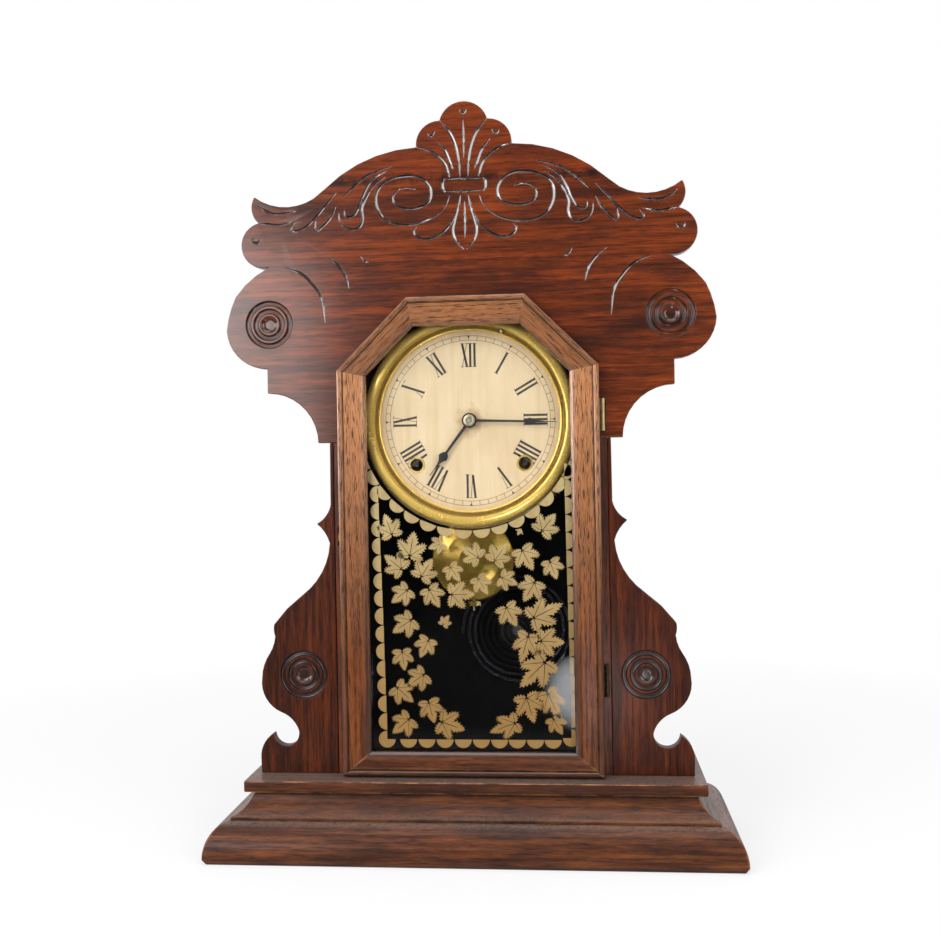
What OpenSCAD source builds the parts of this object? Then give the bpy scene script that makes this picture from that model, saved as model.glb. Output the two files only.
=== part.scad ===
// Oak kitchen shelf clock: a shaped and carved front, a six-sided glazed door and an
// eight-day movement that strikes a coiled gong. Millimetres, +Z up, the front faces -Y.
// The origin is at the middle of the foot.

/* [Base] */
// Width of the plinth at its foot
base_w = 389.6; // [370:0.2:410]
// Depth of the plinth, front to back
base_d = 128; // [118:1:140]
// Height of the plinth moulding
plinth_h = 27.8; // [22:0.2:34]
// How far the plinth's round runs in
plinth_round = 16.3; // [12:0.1:18]
// Thickness of the plinth's wood
plinth_t = 30; // [24:1:36]
// Height of the cove moulding with its neck
cove_h = 18.4; // [15:0.2:22]
// How far the cove runs in
cove_in = 13.8; // [10:0.2:16]
// Thickness of the cove's wood behind the neck
neck_t = 9.4; // [6:0.2:12]
// Height of the shadow line under the shelf
neck_h = 2.6; // [1.6:0.2:4]
// Thickness of the rail that closes the base at the back
back_rail_t = 12; // [8:1:16]
// Leg of the glue blocks in the base
glue_block = 22; // [14:1:30]

/* [Case] */
// Width of the shelf board
shelf_w = 340; // [330:1:350]
// Depth of the shelf board
shelf_d = 103.2; // [100:0.2:108]
// Thickness of the shelf board
shelf_t = 8.4; // [6:0.2:11]
// How far the door laps each case side
door_lap = 4.2; // [3:0.1:6]
// Thickness of the case sides
side_t = 10; // [8:0.5:12]
// Depth of the case sides below the crest
case_d = 78.5; // [76:0.5:82]
// Height of the case above the wings
case_rise = 127; // [118:1:140]
// Thickness of the case top
top_t = 10; // [7:0.5:14]
// Thickness of the back board
back_t = 4; // [3:0.5:6]

/* [Crest and wings] */
// Thickness of the crest and of the wings
front_t = 9.5; // [8:0.5:11]
// Height of the wings above the shelf
wing_h = 250.4; // [244:0.2:256]
// How far a wing stands out from the case at its foot
wing_reach = 60.1; // [56:0.1:64]
// Width of the crest at its widest
crest_w = 368.8; // [356:0.2:380]
// Height of the crest above the wings
crest_h = 254; // [246:1:262]
// Width of the crest's cut-out behind the door
crest_open_w = 168; // [166:1:172]
// Height of the crest's cut-out
crest_open_h = 99; // [97:0.5:104]
// Corner cut of the crest's cut-out
crest_open_cut = 41; // [34:1:44]
// Radius of the turned roundels
roundel_r = 18; // [15:0.5:20]
// Depth of the roundels' grooves
roundel_cut = 1.8; // [1:0.1:3]
// Roundel on the crest, from the middle
crest_roundel_x = 151; // [146:0.5:156]
// Roundel on the crest, above the crest's foot
crest_roundel_z = 90.9; // [85:0.1:96]
// Roundel on the wing, from the case side
wing_roundel_x = 25.6; // [23:0.1:30]
// Roundel on the wing, above the shelf
wing_roundel_z = 74.7; // [68:0.1:80]

/* [Door] */
// Width of the door
door_w = 194.8; // [188:0.2:196]
// Height of the door
door_h = 356.3; // [348:0.1:362]
// Height of the door's upright sides
door_side_h = 302.9; // [296:0.1:308]
// Width of the door at its top
door_top_w = 88; // [80:1:96]
// Thickness of the door
door_t = 12.5; // [11:0.1:14]
// Width of the stiles
stile_w = 21.4; // [18:0.2:23]
// Width of the bottom rail
bottom_rail_w = 17.8; // [15:0.2:22]
// Width of the slanted rails
slant_rail_w = 18.2; // [15:0.2:21]
// Width of the top rail
top_rail_w = 21.5; // [18:0.1:24]
// Width of the bead along the door's outer edge
bead_w = 4.3; // [3:0.1:5]
// How far the bead stands above the flat
bead_rise = 1.2; // [0.6:0.1:2]
// Width of the slope along the glass
bevel_w = 5.5; // [4:0.1:7]
// Width of the rebate for the glass
rebate_w = 6; // [5:0.5:7]
// Depth of the rebate for the glass
rebate_d = 4.5; // [4:0.1:5.5]
// Thickness of the glass
glass_t = 2; // [1.6:0.1:2.4]
// Width of the glazing strips
strip_w = 4; // [3:0.5:5]
// Gap between the door and the shelf
door_gap = 1.1; // [0.6:0.1:2]
// Gap between the door and the crest
door_lay = 0.5; // [0.4:0.1:1]

/* [Hinges and catch] */
// Height of a hinge
hinge_h = 24; // [18:1:32]
// Middle of the upper hinge above the shelf
hinge_high = 267.6; // [255:0.2:280]
// Middle of the lower hinge above the shelf
hinge_low = 70.4; // [60:0.2:90]
// Radius of the hinge knuckles
knuckle_r = 1.6; // [1.3:0.1:1.8]
// Radius of the hinge pin
hinge_pin_r = 0.8; // [0.5:0.1:1]
// Thickness of the hinge leaves
leaf_t = 0.7; // [0.5:0.1:0.7]
// Reach of the hinge leaves on the door, from its edge
door_leaf_w = 8; // [6:0.5:12]
// Middle of the catch above the shelf
catch_up = 179.4; // [160:0.2:200]
// Height of the catch's notch
catch_h = 14; // [10:1:18]
// Depth of the catch's notch
catch_d = 10; // [8:0.5:14]

/* [Dial] */
// Dial centre above the shelf
dial_up = 265.6; // [262:0.2:268]
// Dial behind the front of the crest
dial_set = 14; // [12:0.5:16]
// Radius of the dial pan
pan_r = 82; // [81:0.5:84]
// Thickness of the dial pan
pan_t = 0.6; // [0.4:0.1:1]
// Inner radius of the brass ring round the dial
ring_in_r = 68.5; // [66:0.5:70]
// Outer radius of the brass ring
ring_out_r = 80.2; // [79:0.1:81]
// Height of the ring's shoulder in front of the dial
ring_h = 9.5; // [7:0.5:11]
// Thickness of the ring's sheet
ring_t = 0.6; // [0.4:0.1:0.9]
// Radius of the winding holes
wind_hole_r = 4.8; // [4.4:0.1:5.2]
// Radius of the hole for the hands' arbor
hand_hole_r = 5; // [4:0.5:7]
// Width of the eyelets' rim
eyelet_rim = 1.6; // [1:0.1:2]
// Height of the wooden battens behind the dial
batten_h = 80; // [60:1:100]
// Depth of the battens
batten_d = 10; // [6:1:14]
// Width of the battens
batten_w = 17.2; // [14:0.2:20]

/* [Hands] */
// Length of the minute hand
minute_hand_l = 65.8; // [58:0.2:68]
// Length of the hour hand
hour_hand_l = 52; // [44:0.5:56]
// Angle of the minute hand, clockwise from twelve
minute_angle = 92; // [0:1:359]
// Angle of the hour hand, clockwise from twelve
hour_angle = 217; // [0:1:359]
// Thickness of the hands
hand_t = 0.8; // [0.5:0.1:1.2]
// Radius of the minute hand's hub
hub_r = 5.7; // [4:0.1:7]

/* [Movement] */
// Thickness of the plates
plate_t = 1.5; // [1.2:0.1:2]
// Clear depth between the plates
plate_gap = 36; // [35.6:0.2:38]
// Height of the feet between the back plate and the back board
foot_h = 6; // [4:0.5:8]
// Winding arbor, from the middle
wind_x = 41.4; // [40:0.1:44]
// Winding arbor, below the dial centre
wind_down = 33; // [31:0.5:35]
// Escape wheel above the dial centre
escape_up = 38; // [36:0.5:40]
// Module of the great wheels
great_mod = 0.95; // [0.9:0.01:1]
// Module of the second wheels' teeth
second_mod = 0.7; // [0.65:0.01:0.72]
// Module of the centre wheel
centre_mod = 0.6; // [0.55:0.01:0.62]
// Module of the fine wheels
fine_mod = 0.5; // [0.46:0.01:0.52]
// Module of the motion work
motion_mod = 0.6; // [0.5:0.01:0.64]
// Radius of the escape wheel
escape_r = 15; // [13:0.5:16]
// Length of the crutch below the verge
crutch_l = 32; // [28:0.5:40]
// Distance of the stop pin from the warning wheel's arbor
warning_pin_r = 12.2; // [10:0.2:12.6]
// Radius of the pillars
pillar_r = 3; // [2.4:0.1:3.4]
// Radius of the winding arbors
wind_r = 3; // [2.6:0.1:3.4]
// Radius of the centre arbor
centre_r = 1.5; // [1.2:0.1:1.7]
// Thickness of a mainspring's strip
spring_t = 0.6; // [0.4:0.1:0.8]
// Width of a mainspring
spring_w = 17; // [14:1:18]
// Turns of a mainspring
spring_turns = 7; // [5:1:9]

/* [Pendulum and gong] */
// Bob centre below the dial centre
bob_down = 106.2; // [100:0.2:110]
// Radius of the bob
bob_r = 31.4; // [28:0.2:33]
// Thickness of the bob
bob_t = 10; // [8:0.5:12]
// Radius of the pendulum rod
rod_r = 0.8; // [0.7:0.05:1]
// Pendulum in front of the front plate
rod_front = 9.5; // [9:0.1:10]
// Gong centre, from the middle
gong_x = 31.2; // [26:0.2:36]
// Gong centre below the dial centre
gong_down = 166.2; // [160:0.2:172]
// Gong in front of the back board
gong_front = 15.5; // [14:0.5:18]
// Outer radius of the gong's coil, at the wire's middle
coil_r = 44; // [40:0.5:46]
// Inner radius of the gong's coil
coil_in_r = 8; // [7:0.5:10]
// Loops of the gong's coil
coil_loops = 7.5; // [5:0.5:9]
// Radius of the gong's wire
coil_wire_r = 1.2; // [0.8:0.1:1.4]
// Radius of the gong's cast foot
gong_foot_r = 16; // [12:0.5:20]

/* [Fits] */
// Running fit of an arbor in its hole
run_fit = 0.05; // [0.02:0.01:0.1]
// Gap between turning parts, along their arbor
shake = 0.3; // [0.2:0.05:0.4]

/* [Hidden] */

$fn = 48;
arc_step = 10;

// Colours
oak = "#8a5a2b";
dark_oak = "#4a2415";
crest_oak = "#6a3315";
brass = "#c59a45";
steel = "#8d9094";
blued = "#2c2f38";
iron = "#2b2b2d";

// Levels and planes of the case
base_top = plinth_h + cove_h;
shelf_top = base_top + shelf_t;
back_y = base_d / 2;
case_front_y = back_y - case_d;
crest_y = case_front_y - 1;
crest_back_y = crest_y + front_t;
door_half = door_w / 2;
case_half = door_half - door_lap;
case_out = case_half + side_t;
crest_z = shelf_top + wing_h;
case_top_z = crest_z + case_rise;
board_front_y = back_y - back_t;

// Planes and corners of the door
door_z = shelf_top + door_gap;
door_back_y = crest_y - door_lay;
door_flat = door_t - bead_rise;

// Dial and movement planes
dial_z = shelf_top + dial_up;
dial_y = crest_y + dial_set;
plate_back_y = board_front_y - foot_h - plate_t;
plate_in_y = plate_back_y - plate_gap;
plate_front_y = plate_in_y - plate_t;

// ---- small geometry ----

// Points of the arc from a to b, b left out. bow is its height, positive to the left.
function arc(a, b, bow) =
    bow == 0 ? [a] :
    let (chord = norm(b - a), along = (b - a) / chord, left = [-along[1], along[0]],
         half = 2 * atan(2 * abs(bow) / chord), radius = chord / 2 / sin(half),
         steps = max(2, ceil(2 * half / arc_step)))
    [for (i = [0 : steps - 1])
        let (t = -half + 2 * half * i / steps)
        (a + b) / 2 + along * radius * sin(t)
            + left * sign(bow) * radius * (cos(t) - cos(half))];

// A line through nodes [x, y, bow of the run that follows]
function runs(nodes) = concat(
    [for (i = [0 : len(nodes) - 2])
        let (a = nodes[i], b = nodes[i + 1])
        each arc([a[0], a[1]], [b[0], b[1]], a[2])],
    [[nodes[len(nodes) - 1][0], nodes[len(nodes) - 1][1]]]);

function stretched(points, kx, ky) = [for (p = points) [p[0] * kx, p[1] * ky]];

// The half outline and its mirror image, as one closed outline
function both_sides(points) = concat(points,
    [for (i = [len(points) - 1 : -1 : 0]) if (points[i][0] > 0) [-points[i][0], points[i][1]]]);

function reversed(points) = [for (i = [len(points) - 1 : -1 : 0]) points[i]];

function turned(p, angle) = [p[0] * cos(angle) - p[1] * sin(angle),
                             p[0] * sin(angle) + p[1] * cos(angle)];

// Where two circles cross, to the right of the line from a to b
function meet(a, b, ra, rb) =
    let (d = norm(b - a), u = (b - a) / d, s = (ra * ra - rb * rb + d * d) / (2 * d),
         h = sqrt(ra * ra - s * s))
    a + u * s + [u[1], -u[0]] * h;

// An open line moved to its right by t, its ends kept on the base line
function moved_right(line, t) = [for (i = [0 : len(line) - 1])
    let (a = line[max(i - 1, 0)], b = line[min(i + 1, len(line) - 1)], u = (b - a) / norm(b - a),
         p = line[i] + [u[1], -u[0]] * t)
    [p[0], i == 0 || i == len(line) - 1 ? line[i][1] : p[1]]];

// Plate of thickness t whose front face is at y; children are drawn in x and z
module plate(y, t) {
    translate([0, y + t, 0]) rotate([90, 0, 0]) linear_extrude(t) children();
}

// Turned shape on an axis along y; children are drawn as radius and distance in front of y
module turned_at(x, z, y) {
    translate([x, y, z]) rotate([90, 0, 0]) rotate_extrude() children();
}

module rod_y(x, z, y0, y1, r) {
    translate([x, y1, z]) rotate([90, 0, 0]) cylinder(h = y1 - y0, r = r);
}

// Bar between two points
module bar(a, b, r) {
    v = b - a;
    translate(a) rotate([0, acos(v[2] / norm(v)), atan2(v[1], v[0])])
        cylinder(h = norm(v), r = r);
}

// ---- base ----

// Mouldings are drawn as distance in from the plinth's face, and height
plinth_profile = let (foot = 4, toe = 2.5) concat(
    [[plinth_t, 0], [plinth_t, plinth_h], [plinth_round, plinth_h]],
    [for (a = [80 : -arc_step : 0])
        [plinth_round * (1 - cos(a)), foot + (plinth_h - foot) * sin(a)]],
    [[toe, 0]]);

cove_foot = plinth_round + 0.5;
cove_top = cove_foot + cove_in;
cove_back = cove_top + 2 + neck_t;
cove_lip = 2.3;
cove_profile = concat(
    [[cove_back, plinth_h], [cove_back, base_top], [cove_top + 2, base_top],
     [cove_top + 2, base_top - neck_h]],
    runs([[cove_top, base_top - neck_h, 2.4], [cove_foot, plinth_h + cove_lip, 0],
          [cove_foot, plinth_h, 0]]));

// Front run of a moulding, mitred at both ends
module moulding_front(profile, reach) {
    intersection() {
        translate([-base_w / 2, -base_d / 2, 0]) rotate([90, 0, 90])
            linear_extrude(base_w) polygon(profile);
        linear_extrude(base_top + 1) polygon([[-base_w / 2, -base_d / 2], [base_w / 2, -base_d / 2],
            [base_w / 2 - reach, reach - base_d / 2], [reach - base_w / 2, reach - base_d / 2]]);
    }
}

// Run along the right side, mitred at the front
module moulding_return(profile, reach) {
    intersection() {
        translate([base_w / 2, base_d / 2, 0]) rotate([90, 0, 0])
            linear_extrude(base_d) polygon([for (p = profile) [-p[0], p[1]]]);
        linear_extrude(base_top + 1) polygon([[base_w / 2, -base_d / 2], [base_w / 2, base_d / 2],
            [base_w / 2 - reach, base_d / 2], [base_w / 2 - reach, reach - base_d / 2]]);
    }
}

module mirrored_pair() {
    children();
    mirror([1, 0, 0]) children();
}

module plinth_front() { color(dark_oak) moulding_front(plinth_profile, plinth_t); }
module plinth_returns() { color(dark_oak) mirrored_pair() moulding_return(plinth_profile, plinth_t); }
module cove_front() { color(dark_oak) moulding_front(cove_profile, cove_back); }
module cove_returns() { color(dark_oak) mirrored_pair() moulding_return(cove_profile, cove_back); }

module base_back_rail() {
    low = base_w / 2 - plinth_t;
    high = base_w / 2 - cove_back;
    color(dark_oak) plate(back_y - back_rail_t, back_rail_t) polygon([[-low, 0],
        [-low, plinth_h], [-high, plinth_h], [-high, base_top], [high, base_top],
        [high, plinth_h], [low, plinth_h], [low, 0]]);
}

module glue_blocks() {
    color(oak) mirrored_pair() {
        translate([base_w / 2 - cove_back, cove_back - base_d / 2, plinth_h])
            linear_extrude(cove_h) polygon([[0, 0], [-glue_block, 0], [0, glue_block]]);
        translate([base_w / 2 - cove_back, back_y - back_rail_t, plinth_h])
            linear_extrude(cove_h) polygon([[0, 0], [-glue_block, 0], [0, -glue_block]]);
    }
}

// ---- case ----

module shelf_board() {
    ease = 0.8;
    color(dark_oak) translate([-shelf_w / 2, back_y - shelf_d, base_top]) rotate([90, 0, 90])
        linear_extrude(shelf_w) polygon([[ease, 0], [0, ease], [0, shelf_t - ease], [ease, shelf_t],
            [shelf_d, shelf_t], [shelf_d, 0]]);
}

// Side board seen from the right, notched for the crest
module case_side() {
    rotate([90, 0, 90]) linear_extrude(side_t) polygon([
        [case_front_y, shelf_top], [back_y, shelf_top], [back_y, case_top_z],
        [crest_back_y, case_top_z], [crest_back_y, crest_z], [case_front_y, crest_z]]);
}

// The catch: a notch in the edge of the left side, a clip in it, a tongue on the door
catch_z = shelf_top + catch_up;
tongue_t = 0.8;
clip_t = 0.6;
clip_gap = 0.4;
clip_x1 = -door_half + clip_gap + clip_t;
clip_x0 = -door_half - tongue_t - clip_gap - clip_t;
notch_x0 = clip_x0 - 1.6;

module catch_notch() {
    translate([notch_x0, case_front_y - 1, catch_z - catch_h / 2])
        cube([clip_x1 - notch_x0, catch_d + 1, catch_h]);
}

module case_side_left() {
    color(dark_oak) difference() {
        translate([-case_out, 0, 0]) case_side();
        catch_notch();
    }
}

module case_side_right() { color(dark_oak) translate([case_half, 0, 0]) case_side(); }

module case_top() {
    color(dark_oak) translate([-case_half, crest_back_y, case_top_z - top_t])
        cube([2 * case_half, board_front_y - crest_back_y, top_t]);
}

module back_board() {
    color(oak) translate([-case_half, board_front_y, shelf_top])
        cube([2 * case_half, back_t, case_top_z - shelf_top]);
}

// ---- crest and wings ----

// Right half of the crest from its top, as drawn at 368.8 wide and 254 high
crest_drawn = runs([
    [0, 254, 3.8], [18, 240.3, 5.9], [36, 221, 7], [106.3, 192.5, 0], [115.2, 185.6, -7],
    [161, 188.5, 3.8], [158, 168.5, 17.4], [150.6, 134.5, 2.2], [176.9, 112.6, 1.2],
    [184.4, 87, 8.5], [153.2, 57.2, 0], [153.2, 38.6, -11.3], [114.6, 0, 0]]);

// Right wing from its top, as drawn at 60.1 out from the case and 250.4 high
wing_drawn = runs([
    [0, 250.4, 0], [2.6, 250.4, 0], [2.9, 203.4, -2], [13.7, 189.2, -1.4], [4, 174.4, -5],
    [25.8, 135.2, 1.3], [48.3, 112.8, 0.6], [47.6, 103.8, -0.9], [52.4, 90.3, 1.4],
    [58.3, 72.4, 5.5], [43, 45.7, -2.1], [30.3, 31.8, -10.5], [50.2, 29.9, 2.9],
    [60.1, 11.4, 0], [59.8, 0, 0], [0, 0, 0]]);

// Grooves of a roundel, as radius and depth
module roundel(x, z) {
    r = roundel_r;
    d = roundel_cut;
    turned_at(x, z, crest_y) {
        polygon(concat([[r - 3.6, 1], [r, 1]], runs([[r, 0, 0.5 * d], [r - 1.8, -d, 0.5 * d],
            [r - 3.6, 0, 0]])));
        polygon(concat([[r - 9.6, 1], [r - 6, 1]], runs([[r - 6, 0, 0.5 * d], [r - 7.8, -d, 0.5 * d],
            [r - 9.6, 0, 0]])));
        polygon(concat([[0, 1], [r - 11.6, 1]], runs([[r - 11.6, 0, 0.8], [1.8, -d, 0], [0, -d, 0]])));
    }
}

module crest_board() {
    cut_x = crest_open_w / 2;
    outline = both_sides(concat(stretched(crest_drawn, crest_w / 368.8, crest_h / 254), [
        [cut_x, 0], [cut_x, crest_open_h - crest_open_cut], [cut_x - crest_open_cut, crest_open_h]]));
    color(crest_oak) difference() {
        translate([0, 0, crest_z]) plate(crest_y, front_t) polygon(outline);
        for (side = [-1, 1]) roundel(side * crest_roundel_x, crest_z + crest_roundel_z);
        translate([door_half - 8.4, crest_y - 1, shelf_top + hinge_high - hinge_h / 2 - 0.3])
            cube([hinge_x + knuckle_r + 0.4 - door_half + 8.4, case_front_y - crest_y + 1,
                hinge_h + 0.6]);
    }
}

module wing() {
    difference() {
        translate([case_out, 0, shelf_top]) plate(crest_y, front_t)
            polygon(stretched(wing_drawn, wing_reach / 60.1, wing_h / 250.4));
        roundel(case_out + wing_roundel_x, shelf_top + wing_roundel_z);
    }
}

module wing_right() { color(dark_oak) wing(); }
module wing_left() { color(dark_oak) mirror([1, 0, 0]) wing(); }

// ---- door ----

// The six corners of the door's outline, each rail taken in by its own width less e
function door_corners(stile, bottom, slant, top) =
    let (w = door_half, t = door_top_w / 2, z0 = door_z, zs = door_z + door_side_h,
         z1 = door_z + door_h, run = w - t, rise = z1 - zs, long = norm([run, rise]),
         x = w - stile, z = z1 - top,
         shoulder = zs - (slant * long - stile * rise) / run,
         head = w - (slant * long + (z - zs) * run) / rise)
    [[-x, z0 + bottom], [x, z0 + bottom], [x, shoulder], [head, z], [-head, z], [-x, shoulder]];

function door_ring(e) =
    door_corners(stile_w - e, bottom_rail_w - e, slant_rail_w - e, top_rail_w - e);

door_outer = door_corners(0, 0, 0, 0);
door_inner = door_ring(0);

// Section of a rail: distance in from the outer edge, height above the back
function rail_profile(w) =
    let (quirk = door_flat - 1, lip = rebate_d + 3.5)
    concat([[0, 0], [w - rebate_w, 0], [w - rebate_w, rebate_d], [w, rebate_d]],
        runs([[w, lip, -0.8], [w - bevel_w, door_flat, 0], [bead_w + 0.9, door_flat, 0],
              [bead_w, quirk, -(bead_rise + 1)], [0, quirk, 0]]));

// Rail k of the door, mitred to its neighbours
module door_rail(k, w) {
    a = door_outer[k];
    b = door_outer[(k + 1) % 6];
    in_a = door_inner[k] - a;
    in_b = door_inner[(k + 1) % 6] - b;
    color(oak) translate([0, door_back_y, 0]) rotate([90, 0, 0]) intersection() {
        translate([a[0], a[1], 0]) rotate([0, 0, atan2(b[1] - a[1], b[0] - a[0])])
            rotate([90, 0, 90]) linear_extrude(norm(b - a)) polygon(rail_profile(w));
        linear_extrude(door_t + 1)
            polygon([a - in_a * 0.2, b - in_b * 0.2, b + in_b * 1.2, a + in_a * 1.2]);
    }
}

module door_bottom_rail() { door_rail(0, bottom_rail_w); }
module door_stile_right() { door_rail(1, stile_w); }
module door_slant_right() { door_rail(2, slant_rail_w); }
module door_top_rail() { door_rail(3, top_rail_w); }
module door_slant_left() { door_rail(4, slant_rail_w); }
module door_stile_left() { door_rail(5, stile_w); }

module door_glass() {
    color([0.75, 0.8, 0.8, 0.35])
        plate(door_back_y - rebate_d, glass_t) polygon(door_ring(rebate_w - 0.5));
}

module glazing_strips() {
    strip_t = rebate_d - glass_t;
    color(oak) plate(door_back_y - strip_t, strip_t) difference() {
        polygon(door_ring(rebate_w));
        polygon(door_ring(rebate_w - strip_w));
    }
}

// ---- hinges and catch ----

hinge_x = case_out - knuckle_r - 1.5;
hinge_y = case_front_y - knuckle_r - 0.3;
knuckles = 5;
knuckle_pitch = hinge_h / knuckles;

// Knuckles first, first + 2, ... of a hinge standing on z = 0, each with its finger
module hinge_half(first, leaf_y, leaf_x0, leaf_x1) {
    translate([leaf_x0, leaf_y, 0]) cube([leaf_x1 - leaf_x0, leaf_t, hinge_h]);
    for (k = [first : 2 : knuckles - 1]) translate([0, 0, k * knuckle_pitch + 0.1]) {
        translate([hinge_x, hinge_y, 0]) cylinder(h = knuckle_pitch - 0.2, r = knuckle_r);
        translate([leaf_x1 - 0.5, leaf_y, 0])
            cube([hinge_x - leaf_x1 + 0.5, leaf_t, knuckle_pitch - 0.2]);
    }
}

module at_hinges() {
    for (up = [hinge_low, hinge_high]) translate([0, 0, shelf_top + up - hinge_h / 2]) children();
}

module hinge_leaves_case() {
    color(brass) at_hinges() {
        hinge_half(0, case_front_y - leaf_t, case_half + 0.5, hinge_x - knuckle_r - 0.3);
        translate([hinge_x, hinge_y, 0]) cylinder(h = hinge_h, r = hinge_pin_r);
    }
}

module hinge_leaves_door() {
    color(brass) at_hinges() difference() {
        hinge_half(1, door_back_y, door_half - door_leaf_w, door_half - 0.6);
        translate([hinge_x, hinge_y, -1]) cylinder(h = hinge_h + 2, r = hinge_pin_r + run_fit);
    }
}

module door_catch() {
    h = catch_h - 4;
    y1 = case_front_y + catch_d;
    color(brass) translate([0, 0, catch_z - h / 2]) {
        translate([notch_x0, y1 - clip_t, 0]) cube([clip_x1 - notch_x0, clip_t, h]);
        translate([clip_x0, case_front_y + 0.5, 0]) cube([clip_t, catch_d - 0.5, h]);
        translate([clip_x1 - clip_t, case_front_y + 0.5, 0]) cube([clip_t, catch_d - 0.5, h]);
    }
}

module catch_tongue() {
    h = catch_h - 8;
    on_door = 9;
    in_notch = catch_d - 2.5;
    color(brass) translate([-door_half - tongue_t, door_back_y - on_door, catch_z - h / 2])
        cube([tongue_t, on_door + case_front_y - door_back_y + in_notch, h]);
}

// ---- dial ----

module dial_pan() {
    color("ivory") plate(dial_y, pan_t) difference() {
        translate([0, dial_z]) circle(pan_r, $fn = 96);
        translate([0, dial_z]) circle(hand_hole_r);
        for (side = [-1, 1]) translate([side * wind_x, dial_z - wind_down])
            circle(wind_hole_r + 0.5 + run_fit);
    }
}

module dial_ring() {
    crown = runs([[ring_in_r, 0, 0], [ring_in_r, 1.5, 0.9], [ring_in_r + 1.8, 1.5, -1.4],
        [ring_in_r + 4.7, ring_h, 4], [ring_out_r, 0, 0]]);
    color(brass) turned_at(0, dial_z, dial_y, $fn = 96)
        polygon(concat(crown, reversed(moved_right(crown, ring_t))));
}

module dial_eyelets() {
    color(brass) for (side = [-1, 1]) turned_at(side * wind_x, dial_z - wind_down, dial_y)
        polygon([[wind_hole_r, -pan_t], [wind_hole_r + 0.5, -pan_t], [wind_hole_r + 0.5, 0],
            [wind_hole_r + eyelet_rim, 0], [wind_hole_r + eyelet_rim - 0.4, 0.6], [wind_hole_r, 0.6]]);
}

module dial_battens() {
    color(oak) mirrored_pair()
        translate([case_half - batten_w, dial_y + pan_t, dial_z - batten_h / 2])
            cube([batten_w, batten_d, batten_h]);
}

// ---- movement: places, as [x, height over the dial centre] ----

great_teeth = 72;
second_pins = 9;
second_teeth = 60;
centre_small_teeth = 30;
centre_teeth = 84;
third_pins = 7;
third_teeth = 78;
escape_pins = 6;
escape_teeth = 28;
cannon_teeth = 12;
minute_teeth = 36;
minute_pinion_teeth = 10;
hour_teeth = 40;
strike_second_teeth = 72;
strike_third_pins = 8;
strike_third_teeth = 72;
warning_pins = 8;
warning_teeth = 56;
fly_pins = 7;

function span(teeth, pins, mod) = (teeth + pins) * mod / 2;

wind_at = [wind_x, -wind_down];
centre_at = [0, 0];
escape_at = [0, escape_up];
second_at = meet(wind_at, centre_at, span(great_teeth, second_pins, great_mod),
    span(second_teeth, centre_small_teeth, second_mod));
third_at = meet(centre_at, escape_at, span(centre_teeth, third_pins, centre_mod),
    span(third_teeth, escape_pins, fine_mod));
strike_wind_at = [-wind_x, -wind_down];
strike_second_at = strike_wind_at + turned([span(great_teeth, second_pins, great_mod), 0], 84.8);
strike_third_at = strike_second_at
    + turned([span(strike_second_teeth, strike_third_pins, fine_mod), 0], 70.1);
warning_at = strike_third_at + turned([span(strike_third_teeth, warning_pins, fine_mod), 0], 100.1);
fly_at = warning_at + turned([span(warning_teeth, fly_pins, fine_mod), 0], 59.8);
motion_span = span(minute_teeth, cannon_teeth, motion_mod);
hour_mod = 2 * motion_span / (hour_teeth + minute_pinion_teeth);
minute_at = turned([motion_span, 0], 200);
pallet_half = 6.5 / 2 * 360 / escape_teeth;
verge_at = escape_at + [0, escape_r / cos(pallet_half)];
hammer_at = [-3, -28];
low_pillar_at = [0, -45];
high_pillar_at = [50, 62];
spring_stud_at = [10, -45];

// Levels behind the front plate, along the arbors
great_u = 24;
great_t = 2;
second_u = 28.5;
second_t = 1.5;
centre_u = 32;
centre_t = 1.2;
third_u = 10;
escape_u = 4;
escape_t = 0.8;
strike_third_u = 12;
warning_u = 18;
fine_t = 1;
spring_u = 3;
hammer_u = board_front_y - gong_front - plate_in_y;

// ---- movement: wheels ----

// Outline of a toothed wheel with one tooth centred on the x axis
function wheel_outline(teeth, mod) =
    let (r = teeth * mod / 2, root = r - 1.15 * mod, tip = r + mod,
         root_a = 1.8 * mod / 2 / r * 180 / PI, tip_a = 0.4 * mod / 2 / r * 180 / PI)
    [for (k = [0 : teeth - 1]) let (a = 360 * k / teeth)
        each [root * [cos(a - root_a), sin(a - root_a)], tip * [cos(a - tip_a), sin(a - tip_a)],
              tip * [cos(a + tip_a), sin(a + tip_a)], root * [cos(a + root_a), sin(a + root_a)]]];

// Raked teeth of the escape wheel
function escape_outline() = [for (k = [0 : escape_teeth - 1])
    let (a = 360 * k / escape_teeth, pitch = 360 / escape_teeth)
    each [escape_r * [cos(a), sin(a)], escape_r * [cos(a + 1), sin(a + 1)],
          (escape_r - 2.8) * [cos(a + 0.55 * pitch), sin(a + 0.55 * pitch)],
          (escape_r - 2.8) * [cos(a + 0.95 * pitch), sin(a + 0.95 * pitch)]]];

// Angle that puts wheel 2 in mesh, given wheel 1's tooth angle and the way from 1 to 2
function in_mesh(way, n1, a1, n2) = way + 180 + 180 / n2 - (a1 - way) * n1 / n2;
function way(a, b) = atan2(b[1] - a[1], b[0] - a[0]);

// Wheel blank with spokes: outline less the openings between hub and rim
module spoked(rim_r, hub_r, spokes, spoke_w) {
    difference() {
        children();
        if (spokes > 0) difference() {
            circle(rim_r);
            circle(hub_r);
            for (k = [0 : spokes - 1]) rotate(360 * k / spokes)
                translate([0, -spoke_w / 2]) square([rim_r + 1, spoke_w]);
        }
    }
}

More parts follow.
